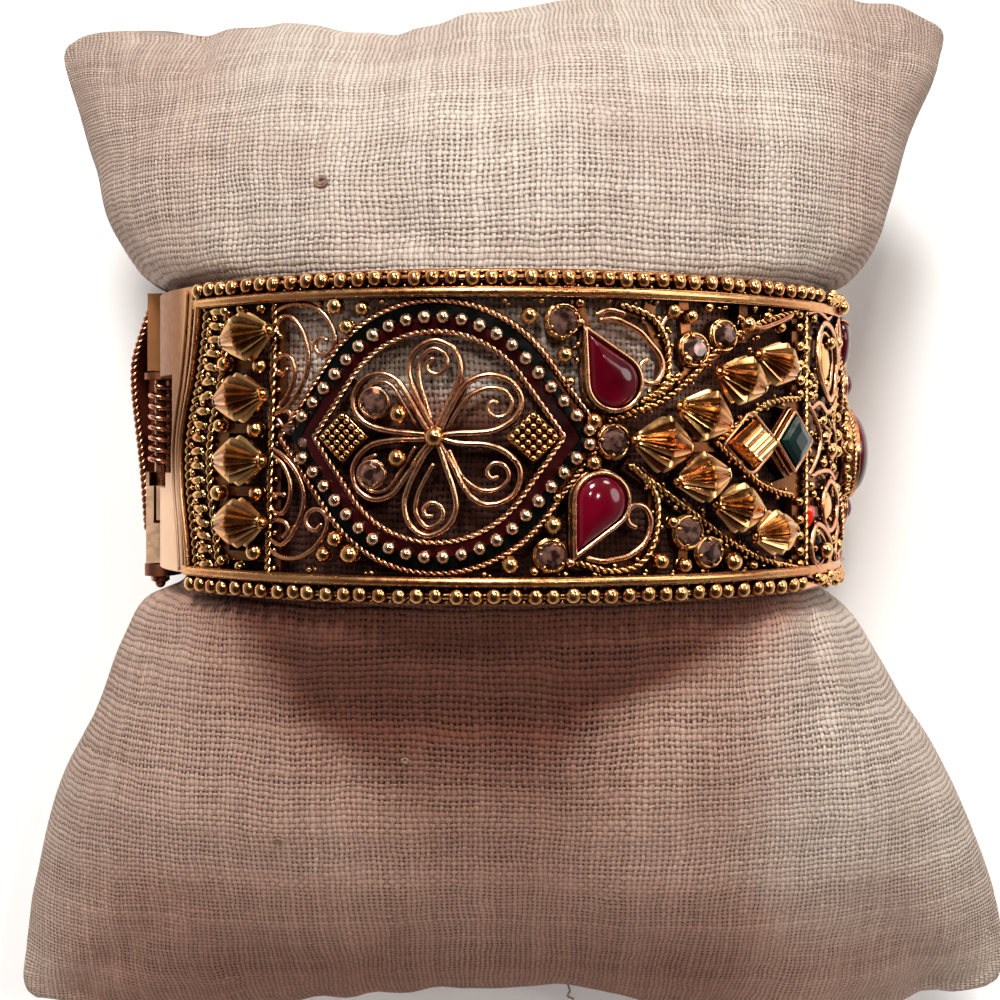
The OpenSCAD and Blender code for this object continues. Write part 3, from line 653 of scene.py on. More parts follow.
for n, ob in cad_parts.items():
    ob.data.materials.clear()
    ob.data.materials.append({
        "front_frame": M_FRAME, "back_frame": M_BACK, "hinge_pin": M_COPPER, "hinge_spring": M_COPPER,
        "front_eye_enamel_outer": M_GREEN_EN, "back_eye_enamel_outer": M_GREEN_EN,
        "front_eye_enamel_inner": M_RED_EN, "back_eye_enamel_inner": M_RED_EN,
        "display_pillow": M_LINEN}.get(n, M_FLUTE if n.startswith("fluted") or n == "ridged_stud" else M_TEAL if n == "square_stone" else M_RED))


# ------------------------------------------------------------------ side rails: beaded wire and small granules
def rim(name, flip, body, v, u0, u1, lip=False):
    p = Part()
    us = np.arange(u0, u1, 1.6)
    s = 1 if v > 0 else -1
    for k, u in enumerate(us):
        wob = 0.07 * math.sin(k * 2.3 + v)
        w = np.linspace(-0.36, 0.36, 5)
        # each one is a short thick turn of wire, a little longer across the rail than round
        c = plane(u, np.column_stack([0.10 * np.sin(k * 1.9) + 0 * w, w, 0.10 - 0.7 * w * w]), v + 0.05 * math.sin(k * 1.7), -0.42 + wob, flip)
        tube(p, c, ortho(u, flip)[2], (0.655 + 0.03 * math.sin(k * 3.1)) * (1 - 0.9 * w * w), 12)
        balls(p, band(u + 0.80, v - s * 0.60, -0.66, flip), 0.25, 8, 6)
        balls(p, band(u + 0.78, v + s * 0.52, -0.78 + wob, flip), 0.19, 8, 6)
    c = band(np.linspace(u0 - 0.4, u1, 160), v, -0.72, flip)
    tube(p, c, outward(np.linspace(u0 - 0.4, u1, 160), flip), 0.34, 6)
    return p.make(name, M_RIM, body, "gold_metal")


END = 2 * Q - 1.0
rim("front_rim_beads_upper", 1, "front_half", 12.84, 17.0, 80.6)
rim("front_rim_beads_lower", 1, "front_half", -12.84, 15.7, 78.0)
rim("back_rim_beads_upper", -1, "back_half", 12.84, 15.5, END - 0.3)
rim("back_rim_beads_lower", -1, "back_half", -12.84, 15.7, END - 0.3)

# bright edge wire along each upright rail
for nm, flip, body in (("front", 1, "front_half"), ("back", -1, "back_half")):
    p = Part()
    for v in (11.7, -11.7):
        uu = np.linspace((17.0 if v > 0 else 15.2) if flip > 0 else 15.3, 77.2 if flip > 0 else END + 0.6, 220)
        tube(p, band(uu, v, 0.02, flip), outward(uu, flip), 0.36, 8, squash=0.62)
    for v in (13.42, -13.42):       # folded lip under the beads
        uu = np.linspace((17.0 if v > 0 else 14.4) if flip > 0 else 15.3, 78.0 if flip > 0 else END + 0.6, 220)
        tube(p, band(uu, v, -1.02, flip), outward(uu, flip), 0.26, 7)
    p.make(nm + "_rail_edges", M_FRAME, body, "gold_metal")

# ------------------------------------------------------------------ strip next to the hinge leaf
def coiled_strip(name, flip, body, v0=-11.4, v1=11.3):
    p = Part()
    vs = np.linspace(v0, v1, 600)
    for k, off in enumerate((1.25, 4.35)):
        us = edge_u(vs) + off - (0.35 * np.clip((vs - 3) / 8, 0, 1) if k else 0)
        c = band(us, vs, -0.50 - 0.05 * k, flip)
        rope(p, c, outward(us, flip), 0.36 if k else 0.44, 1.5, 2, 7, 12, phase=k)
    for k, v in enumerate(np.arange(v0 + 0.4, v1 - 0.2, 1.22)):
        u = float(edge_u(v)) + 2.75
        ax = ortho(u, flip)
        # short thick turns of wire lying across the strip
        w = np.linspace(-0.74, 0.74, 7)
        lean = 0.16 * math.sin(1.7 * k)
        c = plane(u, np.column_stack([w, lean * w + 0.10 * np.sin(w * 2 + k), 0.24 - 0.25 * w * w]), v, -0.62, flip)
        tube(p, c, ax[2], 0.46 - 0.1 * np.abs(w), 9)
        balls(p, plane(u, [[0.4 * math.sin(3 * k), 0.6, 0.35]], v, -0.45, flip), 0.29, 9, 7)
        balls(p, plane(u, [[-0.9, 0.5, 0.1], [0.95, -0.1, 0.12]], v, -0.5, flip), 0.25, 8, 6)
    return p.make(name, M_BEAD, body, "gold_metal")


coiled_strip("front_granule_strip", 1, "front_half")

# folds of the plain leaf beside the strip
p = Part()
vs = np.linspace(-11.7, 12.9, 160)
for off, h, r, q in ((-0.45, -0.42, 0.30, 0.5), (-1.25, -0.46, 0.22, 0.5), (-2.3, -0.47, 0.28, 0.45)):
    us = edge_u(vs) + off
    tube(p, band(us, vs, h), outward(us), r, 8, squash=q)
us = edge_u(vs) + 0.3
tube(p, band(us, vs, -0.06), outward(us), 0.24, 8)
p.make("hinge_leaf_folds", M_FRAME, "front_half", "gold_metal")

p = Part()
vs = np.linspace(-11.6, 11.3, 500)
us = 26.0 + 0.035 * vs
rope(p, band(us, vs, -0.55), outward(us), 0.31, 1.5, 2, 7, 12)
for v in np.arange(-11.0, 11.0, 1.5):
    balls(p, band(26.62 + 0.035 * v, v, -0.62), 0.24, 8, 6)
p.make("front_upright_rope", M_BEAD, "front_half", "gold_metal")

# ------------------------------------------------------------------ fluted beads
def fluted(name, u, v, tilt, r, s, node, turnby=0.0):
    """s -1: the fluted point looks along +u; s 1: along -u."""
    n, per = 14, 8
    w = np.arange(n * per) * 2 * PI / (n * per) + turnby
    valley = np.abs(np.sin(n * (w - turnby) / 2))
    rows = []
    front = [(-2.55, 0.42), (-2.47, 0.52), (-2.3, 0.68), (-1.95, 0.93), (-1.5, 1.25), (-1.05, 1.58), (-0.6, 1.88), (-0.26, 2.06), (-0.08, 2.13), (0.0, 2.15)]
    L1 = 2.3 if s > 0 else 2.6
    back = [(0.05, 2.12), (0.17, 1.98), (0.38, 1.68), (0.62, 1.32), (0.82, 1.0), (0.95, 0.76), (1.0, 0.64)]
    k = r / 2.15
    for z, q in front:
        d = 0.28 * min(1.0, (z + 2.6) / 0.45)
        rr = q * k * (1 - d * valley)
        rows.append(np.column_stack([rr * np.cos(w), rr * np.sin(w), np.full(len(w), z)]))
    for z, q in back:
        d = 0.24 - 0.12 * min(1.0, z / 0.8)
        rr = q * k * (1 - d * valley)
        rows.append(np.column_stack([rr * np.cos(w), rr * np.sin(w), np.full(len(w), z * L1)]))
    L = np.vstack(rows + [[[0, 0, -2.58]], [[0, 0, L1 + 0.02]]])
    a = math.radians(tilt)
    rot = np.array([[math.cos(a), math.sin(a), 0], [-math.sin(a), math.cos(a), 0], [0, 0, 1]])
    put = lambda pts: plane(u, np.asarray(pts, float) @ rot, v, 0.65)
    # the bead's own axis lies along the band
    loc = np.column_stack([L[:, 2] * s, L[:, 1], -L[:, 0] * s])
    v3 = put(loc)
    m, c = len(rows), len(w)
    i = np.arange(m - 1)[:, None]
    j = np.arange(c)[None]
    quads = np.stack([i * c + j, i * c + (j + 1) % c, (i + 1) * c + (j + 1) % c, (i + 1) * c + j], -1).reshape(-1, 4)
    jj = np.arange(c)
    a = np.stack([np.full(c, m * c), (jj + 1) % c, jj], -1)
    b = np.stack([np.full(c, m * c + 1), (m - 1) * c + jj, (m - 1) * c + (jj + 1) % c], -1)
    p = Part()
    p.add(v3, quads, a, b)
    zz = np.concatenate([np.repeat([z for z, _ in front] + [z * L1 for z, _ in back], c), [-2.58, L1]])
    # painted shade: valley depth and how far on the back, which the material paints darker
    groove = np.column_stack([np.append(np.tile(valley, m), [0, 0]), np.clip(zz / 0.5 + 0.2, 0, 1), 0 * zz])
    # small collar at the point and behind
    for z, q in ((-2.5, 0.50), (L1 - 0.02, 0.58)):
        w2 = np.linspace(0, 2 * PI, 25)
        ring = np.column_stack([np.full(25, z * s), q * np.cos(w2), q * np.sin(w2)])
        mid = put([[z * s, 0, 0]])
        tube(p, put(ring), unit(put(ring) - mid), 0.14, 6, True)
    balls(p, put([[-2.62 * s, 0, 0]]), 0.34, 12, 8)
    groove = np.vstack([groove, np.zeros((p.n - len(groove), 3))])
    return p.make(name, M_FLUTE, "front_half", "gold_metal", sharp=30, replaces=(node,), attribute=("groove", groove))


LEFT_BEADS = [[24.3, 8.5, 9], [23.6, 3.35, 6], [23.5, -1.95, 0], [23.5, -7.2, 3]]
RIGHT_BEADS = [[59.9, -0.6, -8, 1], [63.8, 1.8, -16, 0.95], [63.6, -3.3, 6, 0.9], [67.6, 4.8, -14, 0.9], [67.3, -5.9, -8, 0.9],
               [71.8, 6.3, -16, 0.82], [71.5, -8.1, 5, 0.83]]
for k, (u, v, tilt) in enumerate(LEFT_BEADS):
    fluted(f"fluted_bead_column_{k + 1}", u, v, tilt, 2.15, -1, f"fluted_bead_left_{k + 1}", 0.13 * k)
for k, (u, v, tilt, q) in enumerate(RIGHT_BEADS):
    fluted(f"fluted_bead_arrow_{k + 1}", u, v, tilt, 2.4 * q, 1, f"fluted_bead_right_{k + 1}", 0.21 * k)

# ------------------------------------------------------------------ loose gold balls soldered into the openwork
BALLS = [(32.56, 10.75, .72), (33.6, 9.03, .66), (34.95, 10.51, .6), (32.56, -8.37, .7), (31.47, -9.63, .66), (33.92, -9.56, .82),
         (48.89, 9.77, .74), (51.82, 6.64, .68), (54.21, 1.29, .72), (54.21, -2.1, .68), (50.84, -7.09, .74), (47.31, -10.29, .74),
         (61.32, 10.38, .66), (63.06, 10.03, .6), (69.01, 9.59, .74), (62.76, 6.46, .5), (61.32, -7.0, .55), (60.1, -10.18, .72),
         (62.37, -10.58, .66), (67.24, -10.44, .85),
         (20.7, 6.35, .68), (25.0, 6.02, .70), (20.0, 1.05, .62), (24.5, .68, .76), (19.9, -4.75, .74), (24.6, -4.74, .70),
         (24.4, -9.69, .78), (25.1, 10.86, .5), (22.6, 11.0, .45), (20.6, 10.9, .5), (20.2, -10.6, .5), (22.3, -11.0, .42),
         (53.1, 10.9, .42), (30.9, 6.9, .0), (59.2, 8.4, .0), (64.9, 10.9, .45), (71.6, 10.4, .5), (73.6, 9.6, .45),
         (69.9, -10.9, .45), (72.9, -11.0, .42), (49.3, -10.9, .4), (52.3, 4.5, .40), (51.2, -4.9, .42), (56.9, 8.9, .0)]
p = Part()
for u, v, r in BALLS:
    if r > 0:
        balls(p, band(u, v, SH1 + r * 0.82), r, 20, 13)
        w = np.linspace(0, 2 * PI, 17)
        c = plane(u, np.column_stack([r * 0.80 * np.cos(w), r * 0.80 * np.sin(w), 0 * w]), v, SH1 + 0.06)
        tube(p, c, outward(u), 0.13, 5, True)
p.make("soldered_balls", M_BEAD, "front_half", "gold_metal")

# scattered fine granules along the rails and between the ropes
rng = np.random.default_rng(7)
p = Part()
for u, v in [(29.2, 11.0), (31.0, 11.0), (36.6, 11.05), (46.9, 11.0), (49.9, 11.05), (55.6, 11.1), (59.9, 11.1), (66.8, 11.0), (70.2, 11.1),
             (72.0, 11.05), (74.6, 11.1), (29.9, -11.0), (35.7, -11.1), (45.2, -11.1), (51.9, -11.1), (54.4, -11.2), (58.8, -11.3),
             (61.4, -11.4), (64.4, -11.2), (68.9, -11.4), (74.1, -11.3), (60.9, 8.9), (61.9, 5.1), (64.9, 6.0), (69.6, 7.5), (70.6, 8.6),
             (60.6, -4.6), (61.7, -5.8), (64.4, -6.1), (66.2, -8.7), (68.9, -9.2), (74.6, 7.9), (75.0, -9.3), (62.2, .4), (62.2, -1.5),
             (52.9, 6.2), (53.0, 7.5), (53.6, -7.3), (52.4, -6.0)]:
    r = 0.24 + 0.1 * rng.random()
    balls(p, band(u, v, SH1 + r * 0.7), r, 9, 7)
    a = rng.random() * 6.3
    balls(p, band(u + 0.55 * math.cos(a), v + 0.3 * math.sin(a), SH1 + 0.12), 0.2, 8, 6)
p.make("fine_granules", M_BEAD, "front_half", "gold_metal")

# ------------------------------------------------------------------ scrolls between the bead column and the medallion
SCROLLS = [
    [(26.03, 10.34), (26.98, 10.84), (28.06, 11.1), (29.24, 11.1), (30.48, 10.76), (31.59, 9.87), (32.24, 8.81), (32.37, 7.86), (31.92, 7.02), (31.2, 6.77), (30.53, 7.21), (30.48, 7.89), (31.02, 8.22), (31.63, 7.98)],
    [(26.98, 8.4), (26.53, 8.89), (26.53, 9.63), (27.13, 10.07), (27.99, 10.07), (28.89, 9.29), (29.53, 8.13), (29.8, 6.69), (29.53, 5.17), (28.65, 3.66), (27.52, 2.52), (26.33, 1.91)],
    [(27.65, 5.78), (27.37, 5.33), (26.73, 5.34), (26.28, 5.85), (26.48, 6.54), (27.27, 6.87), (28.06, 6.58), (28.39, 5.77), (28.23, 4.62), (27.6, 3.48), (26.78, 2.64)],
    [(25.77, -0.85), (27.03, -1.42), (28.13, -2.32), (28.94, -3.42), (29.35, -4.59), (29.28, -5.8), (28.77, -7.05), (27.99, -8.22), (27.03, -8.95), (25.98, -8.71), (25.4, -8.02), (25.68, -7.25), (26.58, -6.92), (27.52, -7.2), (27.7, -7.85), (27.13, -8.33)],
    [(25.9, -1.43), (27.03, -2.13), (27.8, -3.24), (28.01, -4.39), (27.82, -5.39), (27.27, -6.23), (26.48, -6.38), (25.83, -5.89), (25.77, -5.2), (26.48, -4.76), (27.42, -4.82)],
    [(25.22, -9.01), (26.23, -9.75), (27.52, -10.12), (28.94, -9.95), (30.26, -9.22), (31.2, -8.23), (31.65, -7.17), (31.46, -6.34), (30.71, -5.96), (29.9, -6.19), (29.53, -6.84), (29.9, -7.52), (30.62, -7.69), (31.07, -7.19)],
]
p = Part()
for s in SCROLLS:
    c, up = on_band(s, -0.68)
    tube(p, c, up, 0.235, 8)
c, up = on_band([(26.6, 1.6), (27.3, .9), (28.0, 1.3), (27.9, 2.1), (27.2, 2.2)], -0.66)
tube(p, c, up, 0.2, 7)
p.make("corner_scrolls", M_WIRE, "front_half", "gold_metal")

# ------------------------------------------------------------------ eye medallion
def medallion(prefix, u0, flip, body, lift=0.0, flat=False):
    def lay(x, y, h):
        if flat:
            pts = np.column_stack([x, y, np.full(len(x), h + 0.85 + lift)])
            return plane(u0, pts, 0, 0, flip), np.tile(ortho(u0, flip)[2], (len(x), 1))
        return tang(u0, x, y, h, flip)

    p = Part()
    c = lens(11.05, 13.35 if flat else 13.6)
    P3, U3 = lay(c[:, 0], c[:, 1], -0.60)
    rope(p, P3, U3, 0.27, 1.14, 2, 7, 12, closed=True)
    c = lens(8.55, 10.4)
    P3, U3 = lay(c[:, 0], c[:, 1], -0.58)
    rope(p, P3, U3, 0.26, 1.2, 2, 7, 12, closed=True)
    p.make(prefix + "_ropes", M_WIRE, body, "gold_metal")

    c = even(lens(9.72, 12.9 if not flat else 12.2), 0.05)
    d = np.concatenate([[0], np.cumsum(np.linalg.norm(np.diff(c, axis=0), axis=1))])
    n = int(round(d[-1] / 1.54))
    s = (np.arange(n) + 0.5) * d[-1] / n
    x, y = np.interp(s, d, c[:, 0]), np.interp(s, d, c[:, 1])
    keep = np.ones(n, bool) if flat else ~((x < -12.1) | (x > 12.6))
    P3, U3 = lay(x[keep], y[keep], -0.20)
    p = Part()
    r = 0.56 + 0.02 * np.sin(np.arange(len(P3)) * 1.9)
    balls(p, P3, r, 16, 10)
    p.make(prefix + "_beads", M_PALE, body, "gold_metal")

    p = Part()
    top = [(0.05, 0.4), (-.75, 1.9), (-1.5, 3.4), (-2.12, 5.2), (-1.75, 6.8), (-.1, 7.8), (1.6, 7.1), (2.15, 5.3), (1.55, 3.5), (.75, 1.9), (0.1, 0.4)]
    loops = [top,
             [(.35, .2), (1.1, 1.9), (2.23, 3.9), (3.3, 4.75), (4.73, 5.0), (6.2, 4.45), (7.0, 3.2), (6.75, 1.95), (5.7, .95), (4.3, .42), (1.9, .3), (.4, .12)],
             [(.4, -.1), (2.0, -.5), (4.2, -.62), (5.7, -1.2), (6.77, -2.31), (6.85, -3.6), (6.2, -4.8), (4.7, -5.45), (3.3, -5.1), (2.3, -3.9), (1.45, -2.2), (.35, -.4)],
             [(0.15, -.4), (-.65, -1.2), (-1.3, -2.3), (-2.1, -3.9), (-2.5, -5.5), (-2.0, -7.15), (-.6, -8.0), (1.0, -7.3), (1.75, -5.9), (1.55, -4.2), (1.0, -2.6), (.3, -.5)],
             [(-.3, -.15), (-1.6, -.2), (-3.6, -.28), (-5.3, -.65), (-6.55, -1.75), (-6.9, -3.0), (-6.4, -4.35), (-5.1, -5.08), (-3.6, -4.7), (-2.4, -3.3), (-1.3, -1.6), (-.3, -.35)],
             [(-.3, .2), (-1.2, 1.6), (-2.3, 3.5), (-3.3, 4.75), (-4.7, 5.15), (-6.1, 4.6), (-6.85, 3.3), (-6.6, 2.0), (-5.6, 1.05), (-4.0, .55), (-1.8, .3), (-.4, .15)]]
    for k, s in enumerate(loops):
        xy = spline(s, 0.22)
        P3, U3 = lay(xy[:, 0], xy[:, 1], -0.62 + 0.02 * (k % 2))
        tube(p, P3, U3, 0.255, 8)
    p.make(prefix + "_petal_loops", M_WIRE, body, "gold_metal")

    p = Part()
    curls = [[(-.3, 1.4), (-.75, 2.9), (-1.25, 4.6), (-1.2, 6.2), (-.2, 7.15), (.85, 6.7), (1.02, 5.75), (.35, 5.1), (-.5, 5.35), (-.62, 6.05), (-.1, 6.35)],
             [(1.3, 1.2), (2.0, 2.3), (2.9, 3.35), (4.3, 3.95), (5.6, 3.75), (6.25, 2.85), (5.85, 1.85), (4.95, 1.6), (4.3, 2.15), (4.6, 2.85), (5.1, 2.75)],
             [(1.2, -1.1), (1.75, -2.3), (2.6, -3.6), (3.9, -4.3), (5.2, -4.15), (6.0, -3.3), (5.7, -2.35), (4.8, -2.1), (4.25, -2.75), (4.6, -3.35), (5.1, -3.2)],
             [(-.1, -2.2), (-.85, -3.5), (-1.45, -4.9), (-1.5, -6.2), (-.6, -7.3), (.55, -6.8), (.65, -5.85), (-.1, -5.3), (-.85, -5.7), (-.75, -6.35), (-.2, -6.4)],
             ]
    for k, s in enumerate(curls):
        xy = spline(s, 0.2)
        P3, U3 = lay(xy[:, 0], xy[:, 1], -0.66)
        tube(p, P3, U3, 0.20, 8)
    # half loops that hold the two clear stones
    for s in ([(-1.6, 1.1), (-2.5, 2.6), (-3.6, 4.2), (-5.1, 4.45), (-6.2, 3.3), (-6.0, 2.1), (-4.9, 1.55)],
              [(-1.6, -.8), (-2.7, -2.6), (-3.9, -4.2), (-5.3, -4.4), (-6.25, -3.2), (-5.9, -1.9), (-4.9, -1.45)]):
        xy = spline(s, 0.2)
        P3, U3 = lay(xy[:, 0], xy[:, 1], -0.68)
        tube(p, P3, U3, 0.17, 7)
    p.make(prefix + "_petal_curls", M_WIRE, body, "gold_metal")

    # granulated diamonds and the balls of the flower
    p = Part()
    for cx in (-7.85, 7.95):
        for a in range(-2, 3):
            for b in range(-2, 3):
                x = cx + (a + b) * 0.43
                y = (a - b) * 0.43
                P3, _ = lay(np.array([x]), np.array([y]), -0.50)
                balls(p, P3, 0.30, 12, 8)
        o = np.array([[cx - 2.1, 0], [cx, 2.0], [cx + 2.1, 0], [cx, -2.0], [cx - 2.1, 0]])
        o = even(o, 0.2)
        P3, U3 = lay(o[:, 0], o[:, 1], -0.74)
        tube(p, P3, U3, 0.15, 6)
    for x, y, r in ((-2.92, 1.83, .74), (-3.05, -1.69, .74), (0.05, 0.02, .86)):
        P3, _ = lay(np.array([x]), np.array([y]), SH1 + r * 0.8)
        balls(p, P3, r, 20, 13)
    p.make(prefix + "_granulation", M_BEAD, body, "gold_metal")

    seats, gems = Part(), Part()
    for x, y, r in ((-5.1, 2.84, 1.12), (-5.35, -3.05, 1.05)):
        P0, U0 = lay(np.array([x]), np.array([y]), -0.9)
        t = ortho(u0, flip)
        put = lambda L, P0=P0, t=t: P0[0] + np.asarray(L, float) @ t
        gem(gems, put, r, 0.1, 0.95)
        w = np.linspace(0, 2 * PI, 29)
        for rr, z, q in ((r + 0.04, 0.25, 0.15), (r + 0.12, 0.05, 0.15)):
            tube(seats, put(np.column_stack([rr * np.cos(w), rr * np.sin(w), np.full(29, z)])), t[2], q, 6, True)
    seats.make(prefix + "_stone_seats", M_WIRE, body, "gold_metal")
    gems.make(prefix + "_clear_stones", M_CLEAR, body, "red_stone", smooth=False)


medallion("eye_medallion", EYE_U, 1, "front_half")
medallion("raised_medallion", BACK_EYE_U, -1, "back_half", 1.82, True)

# two tiny stones at the eye's left tip
p = Part()
for u, v, r in ((27.9, .67, .5), (29.2, -.5, .5)):
    t = ortho(u)
    put = lambda L, u=u, v=v, t=t: band(u, v, -0.75) + np.asarray(L, float) @ t
    gem(p, put, r, 0.0, 0.5)
p.make("eye_tip_stones", M_CLEAR, "front_half", "red_stone", smooth=False)

# ------------------------------------------------------------------ teardrops, clear stones, paisley wires and long ropes
DROPS = [("upper", 55.9, 4.45, 30), ("lower", 54.8, -5.2, 153)]
bez = Part()
for nm, u, v, rot in DROPS:
    p = Part()
    o = turn(drop(2.12, 4.62, 64), rot)
    o = even(np.vstack([o, o[:1]]), 0.22)[:-1]
    t = ortho(u)
    put = lambda L, u=u, v=v, t=t: band(u, v, 0) + np.asarray(L, float) @ t
    dome(p, o, put, SH1 + 0.2, 0.92, 10, 2.2, centre=turn([0, 0.45], rot))
    p.make("teardrop_stone_" + nm + "_polished", M_RED, "front_half", "red_stone", replaces=("teardrop_stone_" + nm,))
    o = turn(drop(2.28, 5.0, 64), rot)
    o = even(np.vstack([o, o[:1]]), 0.2)
    tube(bez, put(np.column_stack([o, np.full(len(o), 0.14)])), t[2], 0.19, 7, True)
    o = turn(drop(2.5, 5.4, 64), rot)
    o = even(np.vstack([o, o[:1]]), 0.2)
    tube(bez, put(np.column_stack([o, np.full(len(o), SH1 + 0.12)])), t[2], 0.16, 6, True)
    balls(bez, put([[*turn([0, 5.55], rot), -0.35]]), 0.42, 12, 8)
bez.make("teardrop_bezels", M_WIRE, "front_half", "gold_metal")

CLEAR = [(51.7, 9.4, 1.25), (50.7, -9.6, 1.2), (56.0, -.35, 1.25), (63.5, 7.3, 1.25), (66.6, 8.55, 1.2), (62.9, -7.85, 1.25), (65.0, -9.6, 1.2)]
seats, gems = Part(), Part()
for k, (u, v, r) in enumerate(CLEAR):
    t = ortho(u)
    put = lambda L, u=u, v=v, t=t: band(u, v, SH1) + np.asarray(L, float) @ t
    gem(gems, put, r, 0.12, 1.15)
    w = np.linspace(0, 2 * PI, 33)
    for rr, z, q in ((r + 0.05, 0.42, 0.16), (r + 0.14, 0.2, 0.2), (r + 0.12, 0.04, 0.16)):
        tube(seats, put(np.column_stack([rr * np.cos(w), rr * np.sin(w), np.full(33, z)])), t[2], q, 6, True)
    for a in (np.arange(4) + 0.3 * k) * PI / 2 + 0.5:
        claw = np.array([[(r + 0.16) * math.cos(a), (r + 0.16) * math.sin(a), 0.1], [(r + 0.1) * math.cos(a), (r + 0.1) * math.sin(a), 0.5],
                         [(r - 0.18) * math.cos(a), (r - 0.18) * math.sin(a), 0.78]])
        tube(seats, put(spline(claw, 0.15)), t[2], 0.15, 6)
seats.make("clear_stone_seats", M_GOLD, "front_half", "gold_metal")
gems.make("clear_stones", M_CLEAR, "front_half", "red_stone", smooth=False)

p = Part()
for pts, h, r, pitch in [
        ([(56.65, 10.78), (59.19, 9.95), (60.6, 8.3), (60.95, 6.4), (60.77, 4.82), (59.56, 3.2), (57.61, 1.96), (55.53, 1.38)], -0.50, 0.30, 1.25),
        ([(52.66, -10.11), (55.64, -10.93), (58.19, -10.47), (59.56, -8.7), (59.98, -5.88), (59.38, -4.1), (57.61, -2.29)], -0.50, 0.30, 1.25),
        ([(57.31, -2.28), (60.6, -4.5), (64.72, -7.25), (67.8, -9.1), (70.9, -10.41), (73.4, -11.0), (76, -11.5)], -0.45, 0.30, 1.3),
        ([(57, 2), (58.9, 2.4), (60.47, 3.04), (62.57, 4.47), (64.8, 6.4), (67.02, 8.16), (70.5, 9.7), (74.0, 10.7), (76.0, 11.1)], -0.42, 0.31, 1.3),
        ([(58.2, 2.9), (60.2, 3.9), (61.9, 5.2)], -0.15, 0.26, 1.2),
        ([(65.6, -.4), (68.3, 1.2), (71.41, 2.83), (73.7, 3.3), (76.13, 3.43)], -0.42, 0.29, 1.25),
        ([(65.6, -.4), (68.2, -2.3), (70.59, -3.9), (73.0, -4.7), (75.34, -5.08)], -0.42, 0.27, 1.25)]:
    c, up = on_band(pts, h)
    rope(p, c, up, r, pitch, 2, 7, 12)
    uv = spline(pts, 1.15)
    t2 = along(uv)
    for k in range(1, len(uv) - 1):
        s = 1 if k % 2 else -1
        balls(p, band(uv[k, 0] - s * t2[k, 1] * (r + 0.16), uv[k, 1] + s * t2[k, 0] * (r + 0.16), h - 0.10), 0.20 + 0.05 * math.sin(2.7 * k), 9, 6)
p.make("long_ropes_and_paisleys", M_GOLD, "front_half", "gold_metal")

p = Part()
for pts, h, r in [
        ([(54.78, 9.49), (56.0, 9.6), (57.21, 9.22), (58.4, 8.6), (59.19, 7.79), (60.1, 6.8), (60.42, 5.7), (59.95, 4.65), (59.1, 4.4), (58.35, 4.95), (58.35, 5.85), (59.0, 6.4)], -0.52, 0.26),
        ([(54.4, 9.9), (55.6, 10.35), (57.0, 10.05)], -0.55, 0.22),
        ([(53.59, -9.8), (55.0, -10.1), (55.99, -9.96), (57.0, -9.8), (57.84, -9.39), (58.6, -8.8), (59.15, -7.82), (59.3, -6.7), (58.75, -5.75), (57.8, -5.55), (57.2, -6.15), (57.3, -7.0), (57.95, -7.4)], -0.52, 0.26),
        ([(60.2, 9.0), (61.0, 10.0), (62.4, 10.4)], -0.6, 0.2),
        ([(68.0, 10.2), (70.2, 9.4), (72.6, 9.9), (74.8, 10.7)], -0.2, 0.2),
        ([(66.5, -.5), (68.0, .9), (69.5, 2.1), (71.2, .9), (72.2, .1)], -0.35, 0.2),
        ([(66.5, -.5), (68.0, -1.9), (69.5, -3.0), (71.2, -1.9), (72.2, -1.1)], -0.35, 0.2)]:
    c, up = on_band(pts, h)
    tube(p, c, up, r, 8)
p.make("paisley_wires", M_WIRE, "front_half", "gold_metal")

# stud with slanting ridges, in its frame
def ridged(name):
    u, v = 69.5, -0.5
    t = ortho(u)
    n = 57
    g = np.linspace(-1, 1, n)
    # a square turned on its corner, ridges parallel to one pair of sides
    rows, idx = [], []
    aa, bb = np.meshgrid(g, g, indexing="ij")
    x = (aa + bb) * 1.42
    y = (aa - bb) * 1.0
    edge = np.maximum(np.abs(aa), np.abs(bb))
    crown = 0.80 - 0.55 * np.clip((edge - 0.72) / 0.28, 0, 1) ** 1.2
    ridge = 0.26 * (1 - np.abs(np.sin(bb * PI * 2.6 + 0.4))) * np.clip((0.98 - edge) / 0.2, 0, 1)
    top = np.column_stack([x.ravel(), y.ravel(), (crown + ridge).ravel()])
    base = top.copy()
    base[:, 2] = SH1 + 0.15
    i = np.arange(n - 1)[:, None]
    j = np.arange(n - 1)[None]
    q = np.stack([i * n + j, (i + 1) * n + j, (i + 1) * n + j + 1, i * n + j + 1], -1).reshape(-1, 4)
    m = n * n
    k = np.arange(n - 1)
    wall = np.vstack([
        np.stack([k, k + 1, k + 1 + m, k + m], -1), np.stack([(n - 1) * n + k + 1, (n - 1) * n + k, (n - 1) * n + k + m, (n - 1) * n + k + 1 + m], -1),
        np.stack([(k + 1) * n, k * n, k * n + m, (k + 1) * n + m], -1), np.stack([k * n + n - 1, (k + 1) * n + n - 1, (k + 1) * n + n - 1 + m, k * n + n - 1 + m], -1)])
    p = Part()
    p.add(band(u, v, 0) + np.vstack([top, base]) @ t, q[:, ::-1], (q + m), wall[:, ::-1])
    return p.make(name, M_FLUTE, "front_half", "gold_metal", sharp=35, replaces=("ridged_stud",))


ridged("ridged_stud_faceted")

